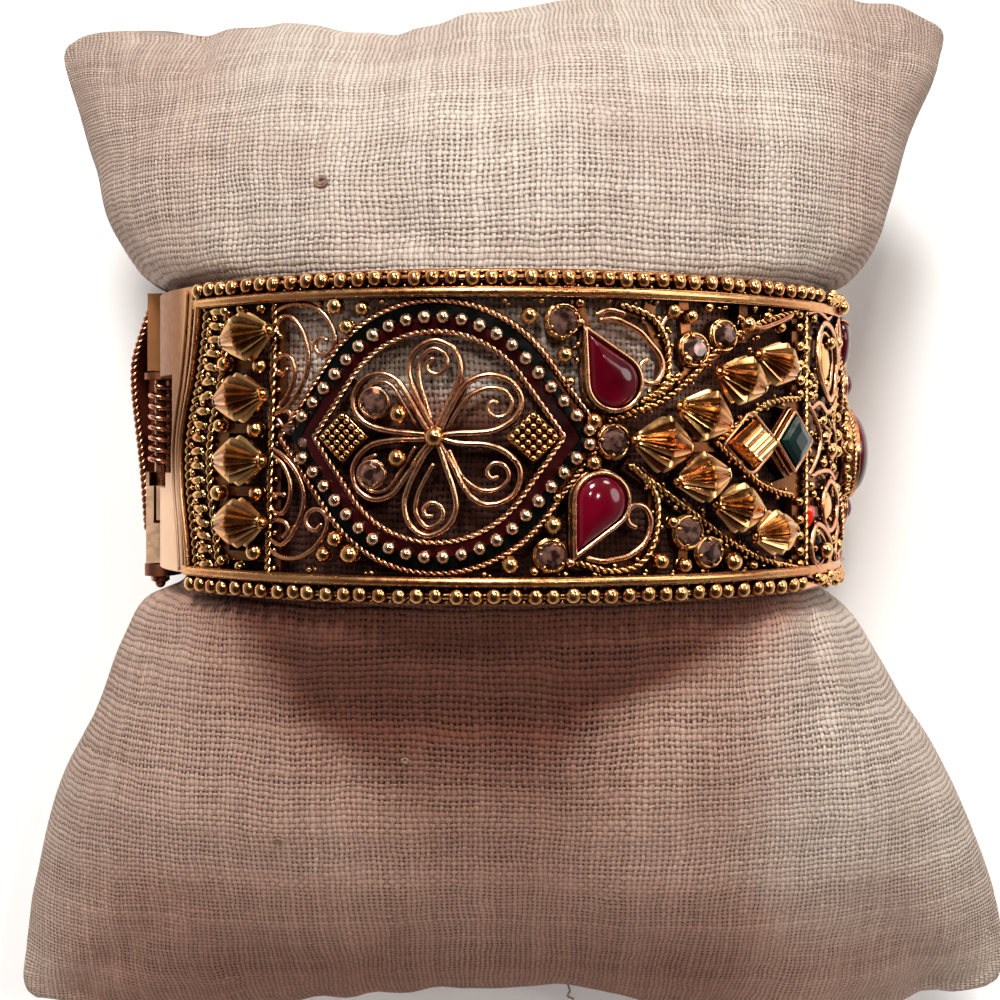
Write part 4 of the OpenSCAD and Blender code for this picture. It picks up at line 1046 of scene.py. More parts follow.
# square stone: stepped pyramid with cut corners
p = Part()
t = ortho(75.3)
put = lambda L: band(75.3, -0.3, 0) + np.asarray(L, float) @ t
def cut_square(r, c):
    pts = []
    for k in range(4):
        a = k * PI / 2
        for s in (-1, 1):
            pts.append([r * math.cos(a) - s * c * math.sin(a) - (c if True else 0) * math.cos(a) * 0.9, r * math.sin(a) + s * c * math.cos(a) - c * math.sin(a) * 0.9])
    return np.array(pts)
steps = [(2.2, .10, SH1 + .15), (2.25, .10, .02), (1.80, .12, .36), (0.95, .10, .56)]
rows = [np.column_stack([cut_square(r, c), np.full(8, z)]) for r, c, z in steps]
v8 = np.vstack(rows + [[[0, 0, steps[0][2]]], [[0, 0, steps[-1][2]]]])
q = []
for i in range(len(rows) - 1):
    for j in range(8):
        q.append([i * 8 + j, i * 8 + (j + 1) % 8, (i + 1) * 8 + (j + 1) % 8, (i + 1) * 8 + j])
m = len(rows) * 8
tri = [[m, (j + 1) % 8, j] for j in range(8)] + [[m + 1, m - 8 + j, m - 8 + (j + 1) % 8] for j in range(8)]
p.add(put(v8), np.array(q), np.array(tri))
p.make("square_stone_cut", M_TEAL, "front_half", "green_stone", smooth=False, replaces=("square_stone",))
p = Part()
o = even(np.array([[2.62, 0], [0, 2.62], [-2.62, 0], [0, -2.62], [2.62, 0]]), 0.2)
tube(p, put(np.column_stack([o, np.full(len(o), -0.24)])), t[2], 0.19, 7, True)
o = even(np.array([[2.93, 0], [0, 2.93], [-2.93, 0], [0, -2.93], [2.93, 0]]), 0.2)
tube(p, put(np.column_stack([o, np.full(len(o), SH1 + 0.1)])), t[2], 0.14, 6, True)
p.make("square_stone_bezel", M_WIRE, "front_half", "gold_metal")

# rope and granules at the end of the openwork
p = Part()
vs = np.linspace(-11.3, 11.3, 400)
rope(p, band(np.full_like(vs, 77.4), vs, -0.5), outward(np.full_like(vs, 77.4)), 0.30, 1.4, 2, 7, 12)
for v, r in [(9.8, .4), (8.1, .46), (6.5, .46), (5.1, .5), (3.9, .42), (-5.6, .4), (-7.2, .42), (-8.6, .42), (-10.0, .45), (10.9, .4), (-11.1, .42)]:
    balls(p, band(76.4, v, SH1 + r * .8), r, 14, 9)
p.make("end_rope_and_granules", M_BEAD, "front_half", "gold_metal")

# ------------------------------------------------------------------ clasp side: wires, granules, small stone
p = Part()
def loop_pts(p, pts, h, r, sides=7):
    c, up = on_band(pts, h, closed=True)
    tube(p, c, up, r, sides, True)


ALMOND_UP = [(80.9, 10.4), (79.6, 9.3), (79.15, 7.0), (80.3, 4.9), (82.5, 3.5), (84.3, 5.0), (84.9, 7.2), (83.6, 9.6)]
loop_pts(p, ALMOND_UP, -0.22, 0.26)
loop_pts(p, [(81.7 + (u - 81.7) * 0.66, 7.0 + (v - 7.0) * 0.76) for u, v in ALMOND_UP], -0.42, 0.17)
LOOP2 = [(82.6, -3.9), (81.0, -4.6), (80.3, -6.1), (80.8, -7.6), (82.3, -8.4), (84.4, -7.7), (85.4, -6.2), (84.6, -4.7)]
loop_pts(p, LOOP2, -0.20, 0.24)
LOOP3 = [(79.2, -7.7), (78.1, -8.8), (77.95, -10.1), (78.7, -11.4), (80.1, -11.95), (81.7, -11.2), (82.5, -9.9), (81.3, -8.5)]
loop_pts(p, LOOP3, -0.20, 0.25)
loop_pts(p, [(80.1 + (u - 80.1) * 0.68, -9.8 + (v + 9.8) * 0.72) for u, v in LOOP3], -0.45, 0.17)
loop_pts(p, [(86.4, 11.3), (85.2, 10.2), (85.6, 8.2), (87.0, 6.6), (88.4, 8.0), (88.6, 10.0), (87.8, 11.2)], -0.24, 0.22)
loop_pts(p, [(86.0, -8.2), (84.7, -9.6), (84.6, -11.2), (86.4, -11.9), (88.2, -11.0), (88.0, -9.3)], -0.24, 0.22)
for pts, r in (([(78.2, 2.6), (79.9, 3.2), (81.9, 2.4), (84.2, 3.0), (86.2, 4.4)], 0.22), ([(78.4, -3.4), (80.0, -3.0), (82.6, -3.0), (84.8, -3.7), (87.0, -3.2)], 0.22),
               ([(77.8, 2.9), (79.2, 1.6), (80.0, .3), (79.9, -.9), (78.9, -2.2), (77.8, -3.2)], 0.21), ([(83.6, 1.6), (84.8, .6), (85.0, -.8), (83.9, -1.8), (82.5, -1.4), (82.2, -.2), (83.0, .5)], 0.2),
               ([(77.6, 11.1), (79.6, 11.4), (82.0, 10.9), (84.2, 11.7), (86.6, 11.5), (89.0, 12.0)], 0.22),
               ([(77.4, -12.1), (79.6, -12.5), (82.2, -12.2), (85.0, -12.5), (87.6, -12.2), (90.0, -12.6)], 0.23)):
    c, up = on_band(pts, -0.34)
    tube(p, c, up, r, 7)
# folded strip that runs out along the lower corner
c, up = on_band([(76.8, -13.1), (79.2, -12.95), (82.0, -13.2), (85.4, -13.1), (89.4, -13.3)], -0.30)
tube(p, c, up, 0.34, 8, squash=0.6)
p.make("clasp_side_wires", M_WIRE, "front_half", "gold_metal")

# hammered leaves inside the two almond loops
p = Part()
for pts, cu, cv, k in ((ALMOND_UP, 81.7, 7.0, 0.50), (LOOP2, 82.6, -6.1, 0.60)):
    o = np.array(pts)
    o = even(spline((o - [cu, cv]) * k, 0.2, True), 0.2)[:-1]
    dome(p, o, lambda L, cu=cu, cv=cv: band(cu, cv, SH1) + np.asarray(L, float) @ ortho(cu), 0.05, 0.55, 6, 2.2)
p.make("clasp_side_leaves", M_FLUTE, "front_half", "gold_metal", sharp=40)

p = Part()
spots = [(77.4, 7.9, .45), (77.3, 6.2, .42), (77.8, 4.8, .47), (78.3, 3.8, .42), (81.4, 4.9, .48), (82.6, 8.7, .62), (80.4, 9.2, .36), (87.0, 12.2, .66), (82.5, -1.1, .72), (85.7, .3, .62),
         (80.9, 1.6, .48), (81.3, .1, .55), (83.6, 2.6, .50), (81.0, -2.2, .46), (83.9, -2.7, .50), (86.4, 2.0, .55), (86.6, -1.2, .60), (81.2, -5.2, .46), (80.9, -10.1, .78), (79.5, -8.4, .42),
         (85.2, 4.0, .46), (86.2, 5.6, .5), (86.6, -4.6, .5), (88.3, 5.2, .46), (88.4, -5.3, .46), (83.9, -9.3, .48), (82.9, -11.4, .42), (78.9, 10.7, .40), (86.9, 9.0, .62), (86.4, -10.0, .66),
         (79.0, -5.0, .36), (78.5, -4.2, .38), (79.2, 4.6, .36), (78.7, 5.6, .30), (88.9, 3.0, .5), (89.0, -3.2, .5)]
for u, v, r in spots:
    balls(p, band(u, v, SH1 + r * 0.82), r, 16, 10)
for k in range(120):
    u, v = 77.9 + 12.0 * rng.random(), -11.8 + 23.6 * rng.random()
    r = 0.2 + 0.14 * rng.random()
    balls(p, band(u, v, SH1 + r * 0.75), r, 9, 6)
# small twisted shreds of wire between them
for k in range(26):
    u, v = 78.4 + 10.0 * rng.random(), -5.5 + 11 * rng.random()
    a = rng.random() * PI
    c = band(u + np.linspace(-.7, .7, 9) * math.cos(a), v + np.linspace(-.7, .7, 9) * math.sin(a), -0.46)
    rope(p, c, outward(u), 0.22, 0.9, 2, 5, 8)
# uneven granules and turns of wire on both rails beyond the neat rows
for s, u0 in ((1, 81.2), (-1, 78.6)):
    for k in range(26):
        u = u0 + k * (90.2 - u0) / 25
        r = 0.34 + 0.16 * rng.random()
        balls(p, band(u + 0.25 * rng.random(), s * (12.35 + 0.9 * rng.random()), -0.1 + 0.3 * r), r, 12, 8)
    uu = np.linspace(u0, 90.2, 160)
    rope(p, band(uu, s * (12.5 + 0.25 * np.sin(uu * 1.9)), 0.12), outward(uu), 0.27, 1.15, 2, 6, 10)
balls(p, band(85.4, 12.2, 0.25), 0.74, 18, 12)
p.make("clasp_side_granules", M_BEAD, "front_half", "gold_metal")

p = Part()
t = ortho(78.2)
o = even(turn(drop(0.62, 1.35, 30), 170), 0.15)[:-1]
dome(p, o, lambda L: band(78.2, -6.6, SH1) + np.asarray(L, float) @ t, 0.15, 0.85, 6, 2.0)
p.make("scarlet_side_stone", M_SCARLET, "front_half", "red_stone", smooth=False)


# ------------------------------------------------------------------ the ornament stands upright on the clasp side: local x along the arm, y down the side, z away from the wrist
def upright(L, x0=0.0):
    L = np.asarray(L, float)
    return np.column_stack([BX + A + x0 + L[:, 2], BY + L[:, 0], BZ - L[:, 1]])


def circle(cx, cy, r, n=49, z=0.0):
    w = np.linspace(0, 2 * PI, n)
    return np.column_stack([cx + r * np.cos(w), cy + r * np.sin(w), np.full(n, z)])


OUT = np.array([1.0, 0, 0])
CABX, CABY = -1.36, 0.2
p = Part()
w = np.arange(84) * 2 * PI / 84
o = np.column_stack([CABX + 3.88 * np.cos(w), CABY + 3.88 * np.sin(w)])
dome(p, o, lambda L: upright(L), 0.92, 3.08, 14, 2.0)
p.make("center_cabochon_polished", M_RED, "front_half", "red_stone", replaces=("center_cabochon",))

p, bd = Part(), Part()
tube(p, upright(circle(CABX, CABY, 4.07, 97, z=1.42)), OUT, 0.17, 8, True)
rope(p, upright(circle(CABX, CABY, 4.42, 97, z=0.98)), OUT, 0.22, 1.0, 2, 7, 12, closed=True)
for k in range(30):          # granules round the rim of the setting
    a = k * 2 * PI / 30 + 0.05 * math.sin(3 * k)
    r = 0.30 + 0.14 * abs(math.sin(2.3 * k))
    balls(bd, upright([[CABX + 4.62 * math.cos(a), CABY + 4.62 * math.sin(a), 0.30 + 0.16 * math.sin(1.7 * k)]]), r, 12, 8)
w = np.linspace(0, 2 * PI, 120)
zig = np.column_stack([CABX + (4.56 + 0.06 * np.sin(14 * w)) * np.cos(w), CABY + (4.56 + 0.06 * np.sin(14 * w)) * np.sin(w), 0.2 + 0.36 * np.sin(14 * w)])
tube(p, upright(zig), unit(upright(zig) - upright([[CABX, CABY, 0.2]])), 0.15, 6, True)
# paisley stones set over their seats
stones = Part()
for cx, cy, rs, tipv, tipy, crown in ((9.6, -0.5, 2.2, 7.0, -0.9, 1.25), (-10.0, 1.6, 2.1, -7.4, 0.6, 1.0)):
    w = np.arange(72) * 2 * PI / 72
    away = math.atan2(tipy - cy, tipv - cx)
    pull = np.clip(np.cos(w - away), 0, 1) ** 6
    rr = rs + 0.26 + 0.55 * pull
    o = np.column_stack([cx + rr * np.cos(w), cy + rr * np.sin(w)])
    inner = np.column_stack([cx + (rs + 0.05) * np.cos(w), cy + (rs + 0.05) * np.sin(w)])
    dome(stones, o, lambda L: upright(L), -0.22, crown, 12, 2.2, centre=(cx, cy), pocket=(inner, 0.60))
    ring = np.vstack([o, o[:1]])
    mid = np.array([cx, cy])
    tube(p, upright(np.column_stack([mid + (ring - mid) * 1.05, np.full(73, -0.24)])), OUT, 0.2, 7, True)
    rope(p, upright(np.column_stack([mid + (ring - mid) * 1.16, np.full(73, -0.36)])), OUT, 0.22, 1.0, 2, 6, 10, closed=True)
    # claws over the edge
    for a in (away + 0.0, away + 2.2, away - 2.2):
        rr0 = rs + 0.3 + (0.5 if a == away else 0)
        cl = np.array([[cx + rr0 * math.cos(a), cy + rr0 * math.sin(a), -0.3], [cx + rr0 * 1.03 * math.cos(a), cy + rr0 * 1.03 * math.sin(a), 0.2],
                       [cx + rr0 * 0.86 * math.cos(a), cy + rr0 * 0.86 * math.sin(a), 0.86]])
        tube(p, upright(spline(cl, 0.15)), OUT, 0.17, 6)
stones.make("ornament_paisley_stones", M_RED, "front_half", "red_stone")
# small round stones: two red on their posts, one green beside the lower paisley, one green above the upper small one
reds, greens = Part(), Part()
w = np.arange(32) * 2 * PI / 32
for cx, cy, r, z0, z1, where, post in ((5.3, -0.2, 1.12, 0.60, 1.62, reds, False), (-6.7, -0.2, 1.12, 0.60, 1.55, reds, False),
                                       (-11.85, 4.55, .98, 0.34, 1.22, greens, True), (7.0, 3.3, .85, 0.20, 1.0, greens, True), (-5.6, 3.9, .85, 0.30, 1.05, greens, True)):
    o = np.column_stack([cx + r * np.cos(w), cy + r * np.sin(w)])
    dome(where, o, lambda L: upright(L), z0, z1, 8, 2.0)
    if post:
        back = np.column_stack([cx + (r + .22) * np.cos(w), cy + (r + .22) * np.sin(w)])
        dome(p, back, lambda L: upright(L), -0.95, z0 - 0.04, 4, 8.0, flat=0.6)
    tube(p, upright(circle(cx, cy, r + 0.14, 33, z0 + 0.24)), OUT, 0.15, 6, True)
    tube(p, upright(circle(cx, cy, r + 0.28, 33, z0 + 0.02)), OUT, 0.14, 6, True)
reds.make("ornament_small_red_stones", M_RED, "front_half", "red_stone")
greens.make("ornament_small_green_stones", M_TEAL, "front_half", "green_stone")
# granules on the bar between the stones, and curled wires down the side
for v, y, x, r in ((7.35, -1.5, 0.35, .42), (6.9, -0.2, 0.60, .36), (3.55, -1.3, 0.62, .46), (3.2, 1.4, 0.4, .36), (-5.6, -1.6, .55, .4), (-4.9, -3.2, .4, .38), (-7.9, -1.3, .45, .38),
                   (-8.3, -0.2, .3, .34), (3.9, -2.6, .2, .42), (-5.9, 1.6, .45, .34), (6.3, 1.5, .3, .34), (7.2, 1.2, .25, .32), (-8.1, 1.2, .2, .3)):
    balls(bd, upright([[v, y, x]]), r, 13, 9)
for s in (1, -1):
    c = CABX + s * 6.4
    for q in (1, -1):
        w = np.linspace(0, 2.4 * PI, 40)
        rr = 1.2 - 0.09 * w
        tube(p, upright(np.column_stack([c + s * 0.2 + rr * np.cos(w * q), 3.4 * q + rr * np.sin(w * q), np.full(40, -0.42)])), OUT, 0.18, 6)
    w = np.linspace(0.45, 2 * PI - 0.45, 110) + (PI if s > 0 else 0)
    ring = np.column_stack([c + 4.2 * np.cos(w), 5.0 * np.sin(w), np.full(110, -0.45)])
    rope(p, upright(ring), OUT, 0.25, 1.15, 2, 6, 10)
p.make("ornament_wires", M_WIRE, "front_half", "gold_metal")
bd.make("ornament_granules", M_BEAD, "front_half", "gold_metal")

# ------------------------------------------------------------------ hinge: coiled spring and the pin's ends
def hinge_pt(x, y, z):
    return np.column_stack(np.broadcast_arrays(BX - A + np.asarray(x, float), BY + np.asarray(y, float), BZ + np.asarray(z, float)))


p = Part()
turns, n = 7.4, 7.4 * 26
w = np.linspace(-0.2, turns * 2 * PI, int(n))
ys = np.linspace(5.14, -2.5, len(w))
rr = 0.93 + 0.14 * np.exp(-((ys - 5.0) / 0.5) ** 2) + 0.14 * np.exp(-((ys + 2.4) / 0.5) ** 2)
tube(p, hinge_pt(rr * np.sin(w), ys, rr * np.cos(w)), np.array([0, 1.0, 0]), 0.25, 9)
p.make("closing_spring_coil", M_COPPER, "back_half", "hinge_metal", replaces=("hinge_spring",))

# twisted wire along the bowed guard's edge, with a ball at its upper end
GUARD = [(-34.7, 13.5), (-35.5, 11.2), (-36.3, 8.6), (-36.55, 6.8), (-36.45, 4.2), (-36.0, .2), (-35.6, -3.6), (-35.35, -7.0), (-35.2, -9.0)]
p = Part()
g = spline(np.array(GUARD) + [0.30, 0.0], 0.2)
path = np.column_stack([BX + g[:, 0], BY + g[:, 1], np.full(len(g), BZ - 2.82)])
rope(p, path, np.array([0, 0, 1.0]), 0.40, 1.35, 2, 7, 12)
for dz in (-4.6, -6.2):
    side = unit(np.column_stack([along(g)[:, 1], -along(g)[:, 0]]))
    side *= np.where(side[:, :1] > 0, -1, 1)
    q = g + side * 0.34
    tube(p, np.column_stack([BX + q[:, 0], BY + q[:, 1], np.full(len(q), BZ + dz)]), np.array([0, 0, 1.0]), 0.16, 6)
balls(p, [[BX - 34.3, BY + 13.75, BZ - 2.7]], 0.52, 16, 10)
p.make("guard_rope", M_COPPER, "back_half", "gold_metal")
p = Part()
balls(p, hinge_pt(0, -14.02, 0), 0.52, 16, 10)
w = np.linspace(0, 2 * PI, 25)
tube(p, hinge_pt(0.62 * np.cos(w), -13.84 + 0 * w, 0.62 * np.sin(w)), np.array([0, -1.0, 0]), 0.12, 6, True)
p.make("pin_end_ball", M_COPPER, "back_half", "hinge_metal")

# ------------------------------------------------------------------ display pillow
def smooth_table(ys, vals, grid, passes=6, width=5):
    t = np.interp(grid, ys, vals)
    k = np.ones(width) / width
    for _ in range(passes):
        t = np.convolve(np.concatenate([np.full(width // 2, t[0]) + (np.arange(width // 2) - width // 2) * (t[1] - t[0]), t,
                                        np.full(width // 2, t[-1]) + (np.arange(width // 2) + 1) * (t[-1] - t[-2])]), k, "valid")
    return t


def value_noise(x, y, seed, cell):
    """Smooth repeatable noise in -1..1 over the plane."""
    g = np.random.default_rng(seed).random((64, 64)) * 2 - 1
    x, y = x / cell + 31.3, y / cell + 17.7
    i, j = np.floor(x).astype(int), np.floor(y).astype(int)
    fx, fy = x - i, y - j
    fx, fy = fx * fx * (3 - 2 * fx), fy * fy * (3 - 2 * fy)
    a = g[i % 64, j % 64] * (1 - fx) + g[(i + 1) % 64, j % 64] * fx
    b = g[i % 64, (j + 1) % 64] * (1 - fx) + g[(i + 1) % 64, (j + 1) % 64] * fx
    return a * (1 - fy) + b * fy


LEFT = [(-50, 48.6), (-49.3, 49.4), (-48.0, 49.5), (-45.2, 48.7), (-40.4, 47.9), (-36, 46.9), (-32.2, 46.1), (-28.4, 44.9), (-25.4, 43.3), (-23.0, 41.7), (-20.6, 40.3), (-18, 39.3), (-15, 38.2), (-12.6, 37.2),
        (-10.4, 35.9), (-9.5, 34.9), (-8.9, 33.3), (-8.4, 31.8), (-7.9, 31.2), (18.9, 31.2), (19.5, 32.0), (20.1, 33.6), (20.9, 35.0), (22.2, 36.6), (24.4, 38.4), (26.6, 39.6), (29.2, 40.6), (31.6, 41.3),
        (34.5, 42.3), (37.8, 43.3), (40, 44.2), (42.4, 45.3), (44.0, 45.8), (45.9, 45.5), (47.0, 44.2), (47.6, 42.2), (48.0, 39.2)]
RIGHT = [(-50, 49.2), (-49.3, 50.3), (-47.1, 50.5), (-40.7, 49.5), (-35.8, 47.5), (-30.9, 45.2), (-24.4, 42.1), (-20.3, 39.2), (-17, 37.2), (-14.1, 35.4), (-11.6, 33.4), (-10.2, 32.0), (-9.2, 30.6), (-8.4, 29.6), (-7.9, 29.1),
         (18.9, 29.1), (19.5, 30.0), (20.0, 31.3), (20.8, 32.8), (24.3, 36.0), (29.4, 38.1), (35.3, 40.0), (39.8, 42.4), (43.6, 44.2), (46.0, 44.9), (47.0, 44.4), (47.6, 43.0), (48.0, 40.6)]
LOW = [(-50, 19.0), (-49.2, 17.2), (-47.6, 13.6), (-45, 10.0), (-40, 4.8), (-34, 0.8), (-28, -0.9), (-22, -1.2), (-16, -.6), (-11.5, 1.2), (-9.4, 3.0), (-8.2, 4.2), (5.6, 4.3), (19.4, 4.2),
       (20.6, 3.2), (23, 1.2), (28, -.8), (34, -.4), (39, 2.8), (43.2, 8.6), (46.2, 14.2), (47.4, 16.9), (48.0, 18.8)]
HIGH = [(-50, 21.4), (-49.2, 23.4), (-47.6, 27.0), (-45, 31.0), (-40, 37.0), (-34, 42.6), (-28, 46.2), (-22, 48.4), (-16, 49.6), (-11.5, 50.3), (-9.4, 50.6), (-8.2, 50.5), (5.6, 50.6), (19.4, 50.5),
        (20.6, 50.4), (23, 50.0), (28, 48.6), (34, 45.0), (39, 39.6), (43.2, 32.6), (46.2, 26.8), (47.4, 24.2), (48.0, 21.8)]


def pillow():
    rows, cols = 262, 256
    # rows gather towards both ends and at the band's edges
    yy = np.linspace(-50, 48, 4000)
    dense = 1 + 2.6 * np.exp(-((yy + 9.0) / 1.8) ** 2) + 2.6 * np.exp(-((yy - 20.0) / 1.8) ** 2) + 4.0 * np.exp(-((yy - 48) / 2.4) ** 2) + 4.0 * np.exp(-((yy + 50) / 2.4) ** 2)
    run = np.cumsum(dense)
    y0 = np.interp(np.linspace(run[0], run[-1], rows), run, yy)
    s = (y0 + 1.0) / 49.0
    grid = y0
    tab = {k: smooth_table(*zip(*t), grid, 3) for k, t in (("l", LEFT), ("r", RIGHT), ("lo", LOW), ("hi", HIGH))}
    th = np.arange(cols) * 2 * PI / cols
    ct, st = np.cos(th), np.sin(th)
    ends = np.clip((np.abs(s) - 0.55) / 0.45, 0, 1)
    e = 2.0 - 0.20 * ends                                   # lens-like sections towards the seams
    cx = np.sign(ct)[None] * np.abs(ct)[None] ** (2 / e[:, None])
    cz = np.sign(st)[None] * np.abs(st)[None] ** (2 / e[:, None])
    mid = (tab["lo"] + tab["hi"])[:, None] / 2
    half = (tab["hi"] - tab["lo"])[:, None] / 2
    x = np.where(cx < 0, cx * tab["l"][:, None], cx * tab["r"][:, None])
    # the section eases at the middle so both halves of the width meet smoothly
    z = mid + half * cz
    # end seams are not straight
    xs = np.linspace(-54, 54, 217)
    ease = lambda px, py: np.convolve(np.pad(np.interp(xs, px, py), 4, mode="edge"), np.ones(9) / 9, "valid")
    top_y = np.interp(x, xs, ease([-46, -44, -41.4, -37.9, -34.2, -31.5, -28, -21.6, -16.1, -12, -9.4, -6.4, -1, 3.5, 9, 20, 29, 33.3, 36.3, 40.8, 43.5, 46],
                                  [.1, .1, 0, -.3, -.3, -1.2, -.3, -.4, -1.3, -1.3, -.4, .7, 1.1, 2.3, 2.8, 3.0, 2.9, 2.3, 2.1, 1.7, 1.3, 1.1]))
    bot_y = np.interp(x, xs, ease([-50, -40, -31, -22, -13, -1, 4, 12, 18.7, 28.6, 38.4, 45, 50], [-1.7, -2.1, -2.0, -1.3, -.5, 0, .3, -1.1, -1.8, -2.1, -1.6, -1.0, -.5]))
    wt = np.clip((s - 0.45) / 0.55, 0, 1)[:, None] ** 2
    wb = np.clip((-s - 0.45) / 0.55, 0, 1)[:, None] ** 2
    y = y0[:, None] + wt * top_y + wb * bot_y
    V = np.stack([x, y, z], -1)

    # cloth folds, along the surface's own outward direction
    du = np.roll(V, -1, 1) - np.roll(V, 1, 1)
    dv = np.gradient(V, axis=0)
    nrm = unit(np.cross(du, dv))
    flip = np.sign((nrm * (V - np.array([0, 0, 24.0]))).sum(-1).mean())
    nrm = nrm * flip
    free_hi = np.clip((y - 19.6) / 3.0, 0, 1)
    free_lo = np.clip((-8.4 - y) / 3.0, 0, 1)
    near = np.maximum(free_hi * np.exp(-np.clip(y - 19.6, 0, None) / 11.0), free_lo * np.exp(-np.clip(-8.4 - y, 0, None) / 12.0))
    up = np.clip(nrm[..., 2] * 1.4 + 0.35, 0, 1)
    warp = 2.4 * value_noise(x, y, 3, 17.0)
    fan = x / (1 + 0.011 * np.clip(np.abs(y - 5.6) - 14, 0, None)) + warp
    pinch = (0.34 * np.sin(fan / 3.7 + 0.6) + 0.26 * np.sin(fan / 2.3 + 2.1) + 0.4 * value_noise(fan, y * 0.16, 5, 4.2)) * near
    soft = 0.75 * value_noise(x + 2 * warp, y * 0.7, 8, 15.0) + 0.26 * value_noise(x, y, 9, 6.0) + 0.10 * value_noise(x, y, 12, 2.6)
    # small gathers along both end seams and down the sides
    endness = np.clip((np.abs(s)[:, None] - 0.72) / 0.28, 0, 1) ** 1.5
    gather = 0.42 * value_noise(x * 1.0, y * 0.22, 21, 3.1) * endness + 0.30 * value_noise(x * 0.3, y, 22, 4.5) * np.clip((np.abs(ct)[None] - 0.72) / 0.28, 0, 1)
    free = np.maximum(free_hi, free_lo)
    d = pinch * 0.9 + (soft * 0.8 + gather) * free

    def crease(x0, y0_, x1, y1_, width, depth, lean=0.0):
        ax, ay = x1 - x0, y1_ - y0_
        L2 = ax * ax + ay * ay
        t = ((x - x0) * ax + (y - y0_) * ay) / L2
        tt = np.clip(t, 0, 1)
        dist = ((x - x0) * ay - (y - y0_) * ax) / math.sqrt(L2)
        off = np.hypot(x - (x0 + tt * ax), y - (y0_ + tt * ay))
        g = np.exp(-(off / width) ** 2)
        shape = g * (1 - 0.6 * tt) + lean * np.tanh(dist / width) * np.exp(-(off / (2.2 * width)) ** 2)
        return -depth * shape * np.clip(nrm[..., 2] * 3, 0, 1)

    for c in ((27.2, -10.6, 27.8, -19.5, 0.75, 0.9, 0.55), (21.8, -8.9, 20.8, -16.0, 1.2, 0.8, 0.35), (11.2, -8.9, 12.6, -22.0, 1.7, 0.6, -0.2), (-3.0, -8.9, -6.5, -20.0, 1.9, 0.4, 0.0),
              (-17.0, -8.9, -22.5, -21.0, 1.7, 0.55, 0.25), (-27.0, -9.2, -35.0, -18.0, 1.6, 0.6, 0.0), (18.5, 20.2, 20.5, 30.0, 1.5, 0.5, 0.2), (26.5, 20.2, 31.5, 30.0, 1.6, 0.65, -0.2),
              (-22.0, 20.2, -27.0, 31.0, 1.7, 0.55, 0.25), (-8.0, 20.2, -9.5, 28.0, 1.7, 0.35, 0.0), (-31.2, 47.6, -29.8, 42.0, 1.3, 0.8, 0.2), (-11.6, 47.6, -10.8, 41.5, 1.3, 0.8, -0.2),
              (3.0, 48.5, 1.6, 40.0, 1.7, 0.6, 0.3), (24.0, 48.5, 22.5, 42.0, 1.8, 0.35, 0.0), (-43.0, -49.5, -31.0, -37.0, 2.0, 0.7, 0.2), (43.0, -49.5, 33.0, -37.0, 2.0, 0.7, -0.2),
              (-14.0, -50.0, -13.0, -42.0, 1.5, 0.45, 0.2), (16.0, -50.0, 14.5, -41.0, 1.6, 0.45, -0.2), (39.0, 44.0, 33.0, 36.0, 1.8, 0.5, 0.2), (-40.0, 42.5, -34.0, 35.0, 1.8, 0.5, -0.2)):
        d += crease(*c)
    V = V + nrm * (d * up)[..., None] * np.maximum(free, 0.0)[..., None]
    # seam down both sides: a fine groove between two small ridges
    k = np.minimum(np.abs(np.angle(np.exp(1j * th))), np.abs(np.angle(np.exp(1j * (th - PI)))))[None] * half
    V = V + nrm * (0.22 * np.exp(-((k - 0.9) / 0.5) ** 2) - 0.30 * np.exp(-(k / 0.35) ** 2))[..., None]
    V[..., 2] = np.maximum(V[..., 2], 0.0)

    # millimetres of cloth: round each section from the top, and along the top
    seg = np.linalg.norm(np.roll(V, -1, 1) - V, axis=-1)
    top = cols // 4
    arc = np.zeros((rows, cols))
    for step in range(1, cols // 2 + 1):
        arc[:, (top + step) % cols] = arc[:, (top + step - 1) % cols] - seg[:, (top + step - 1) % cols]
    for step in range(1, cols // 2):
        arc[:, (top - step) % cols] = arc[:, (top - step + 1) % cols] + seg[:, (top - step) % cols]
    line = V[:, top]
    run = np.concatenate([[0], np.cumsum(np.linalg.norm(np.diff(line, axis=0), axis=1))])
    # painted shade on the cloth under the band: deep towards the lower rail and both ends, light along the upper rail
    v, uw = V[..., 1] - BY, V[..., 0] - BX
    inside = np.clip((13.9 - np.abs(v)) / 0.9, 0, 1) * np.clip(nrm[..., 2] * 4, 0, 1)
    low = 1 - np.clip((v - 0.6) / 3.6, 0, 1)
    side = np.clip((np.abs(uw + 1.0) - 15.0) / 5.5, 0, 1)
    dark = inside * np.clip(0.05 + 0.92 * np.maximum(low, side), 0, 0.97)
    # and the brown painted shadow that falls from the band's lower rail, narrowing down the slope
    deep = np.clip(-8.2 - V[..., 1], 0, None)
    core = np.interp(deep, [0, 1.5, 3, 6, 9, 13.5, 17, 21, 27], [22.0, 20.5, 17.5, 14.5, 10.0, 6.0, 4.5, 3.5, 2.0])
    mid_u = np.interp(deep, [0, 3, 6, 9, 13.5, 17, 27], [0.7, -0.8, -1.8, -4.6, -2.8, -1.0, 0.0])
    amp = np.interp(deep, [0, 1.5, 4, 9, 13.5, 17, 21, 27, 33], [0.80, 0.86, 0.92, 0.91, 0.76, 0.62, 0.50, 0.38, 0.32])
    base = (0.30 * np.clip((30.0 - uw) / 10.0, 0.12, 1) + 0.32 * np.clip((deep - 24.0) / 13.0, 0, 1)) * np.exp(-((uw - 1) / 46.0) ** 6)
    fall = base + np.maximum(amp - base, 0) * np.exp(-(np.clip(np.abs(uw - mid_u) - core, 0, None) / 5.2) ** 2)
    dark = np.maximum(dark, fall * np.clip((-7.6 - V[..., 1]) / 0.8, 0, 1) * np.clip(nrm[..., 2] * 4 + 1.0, 0, 1))
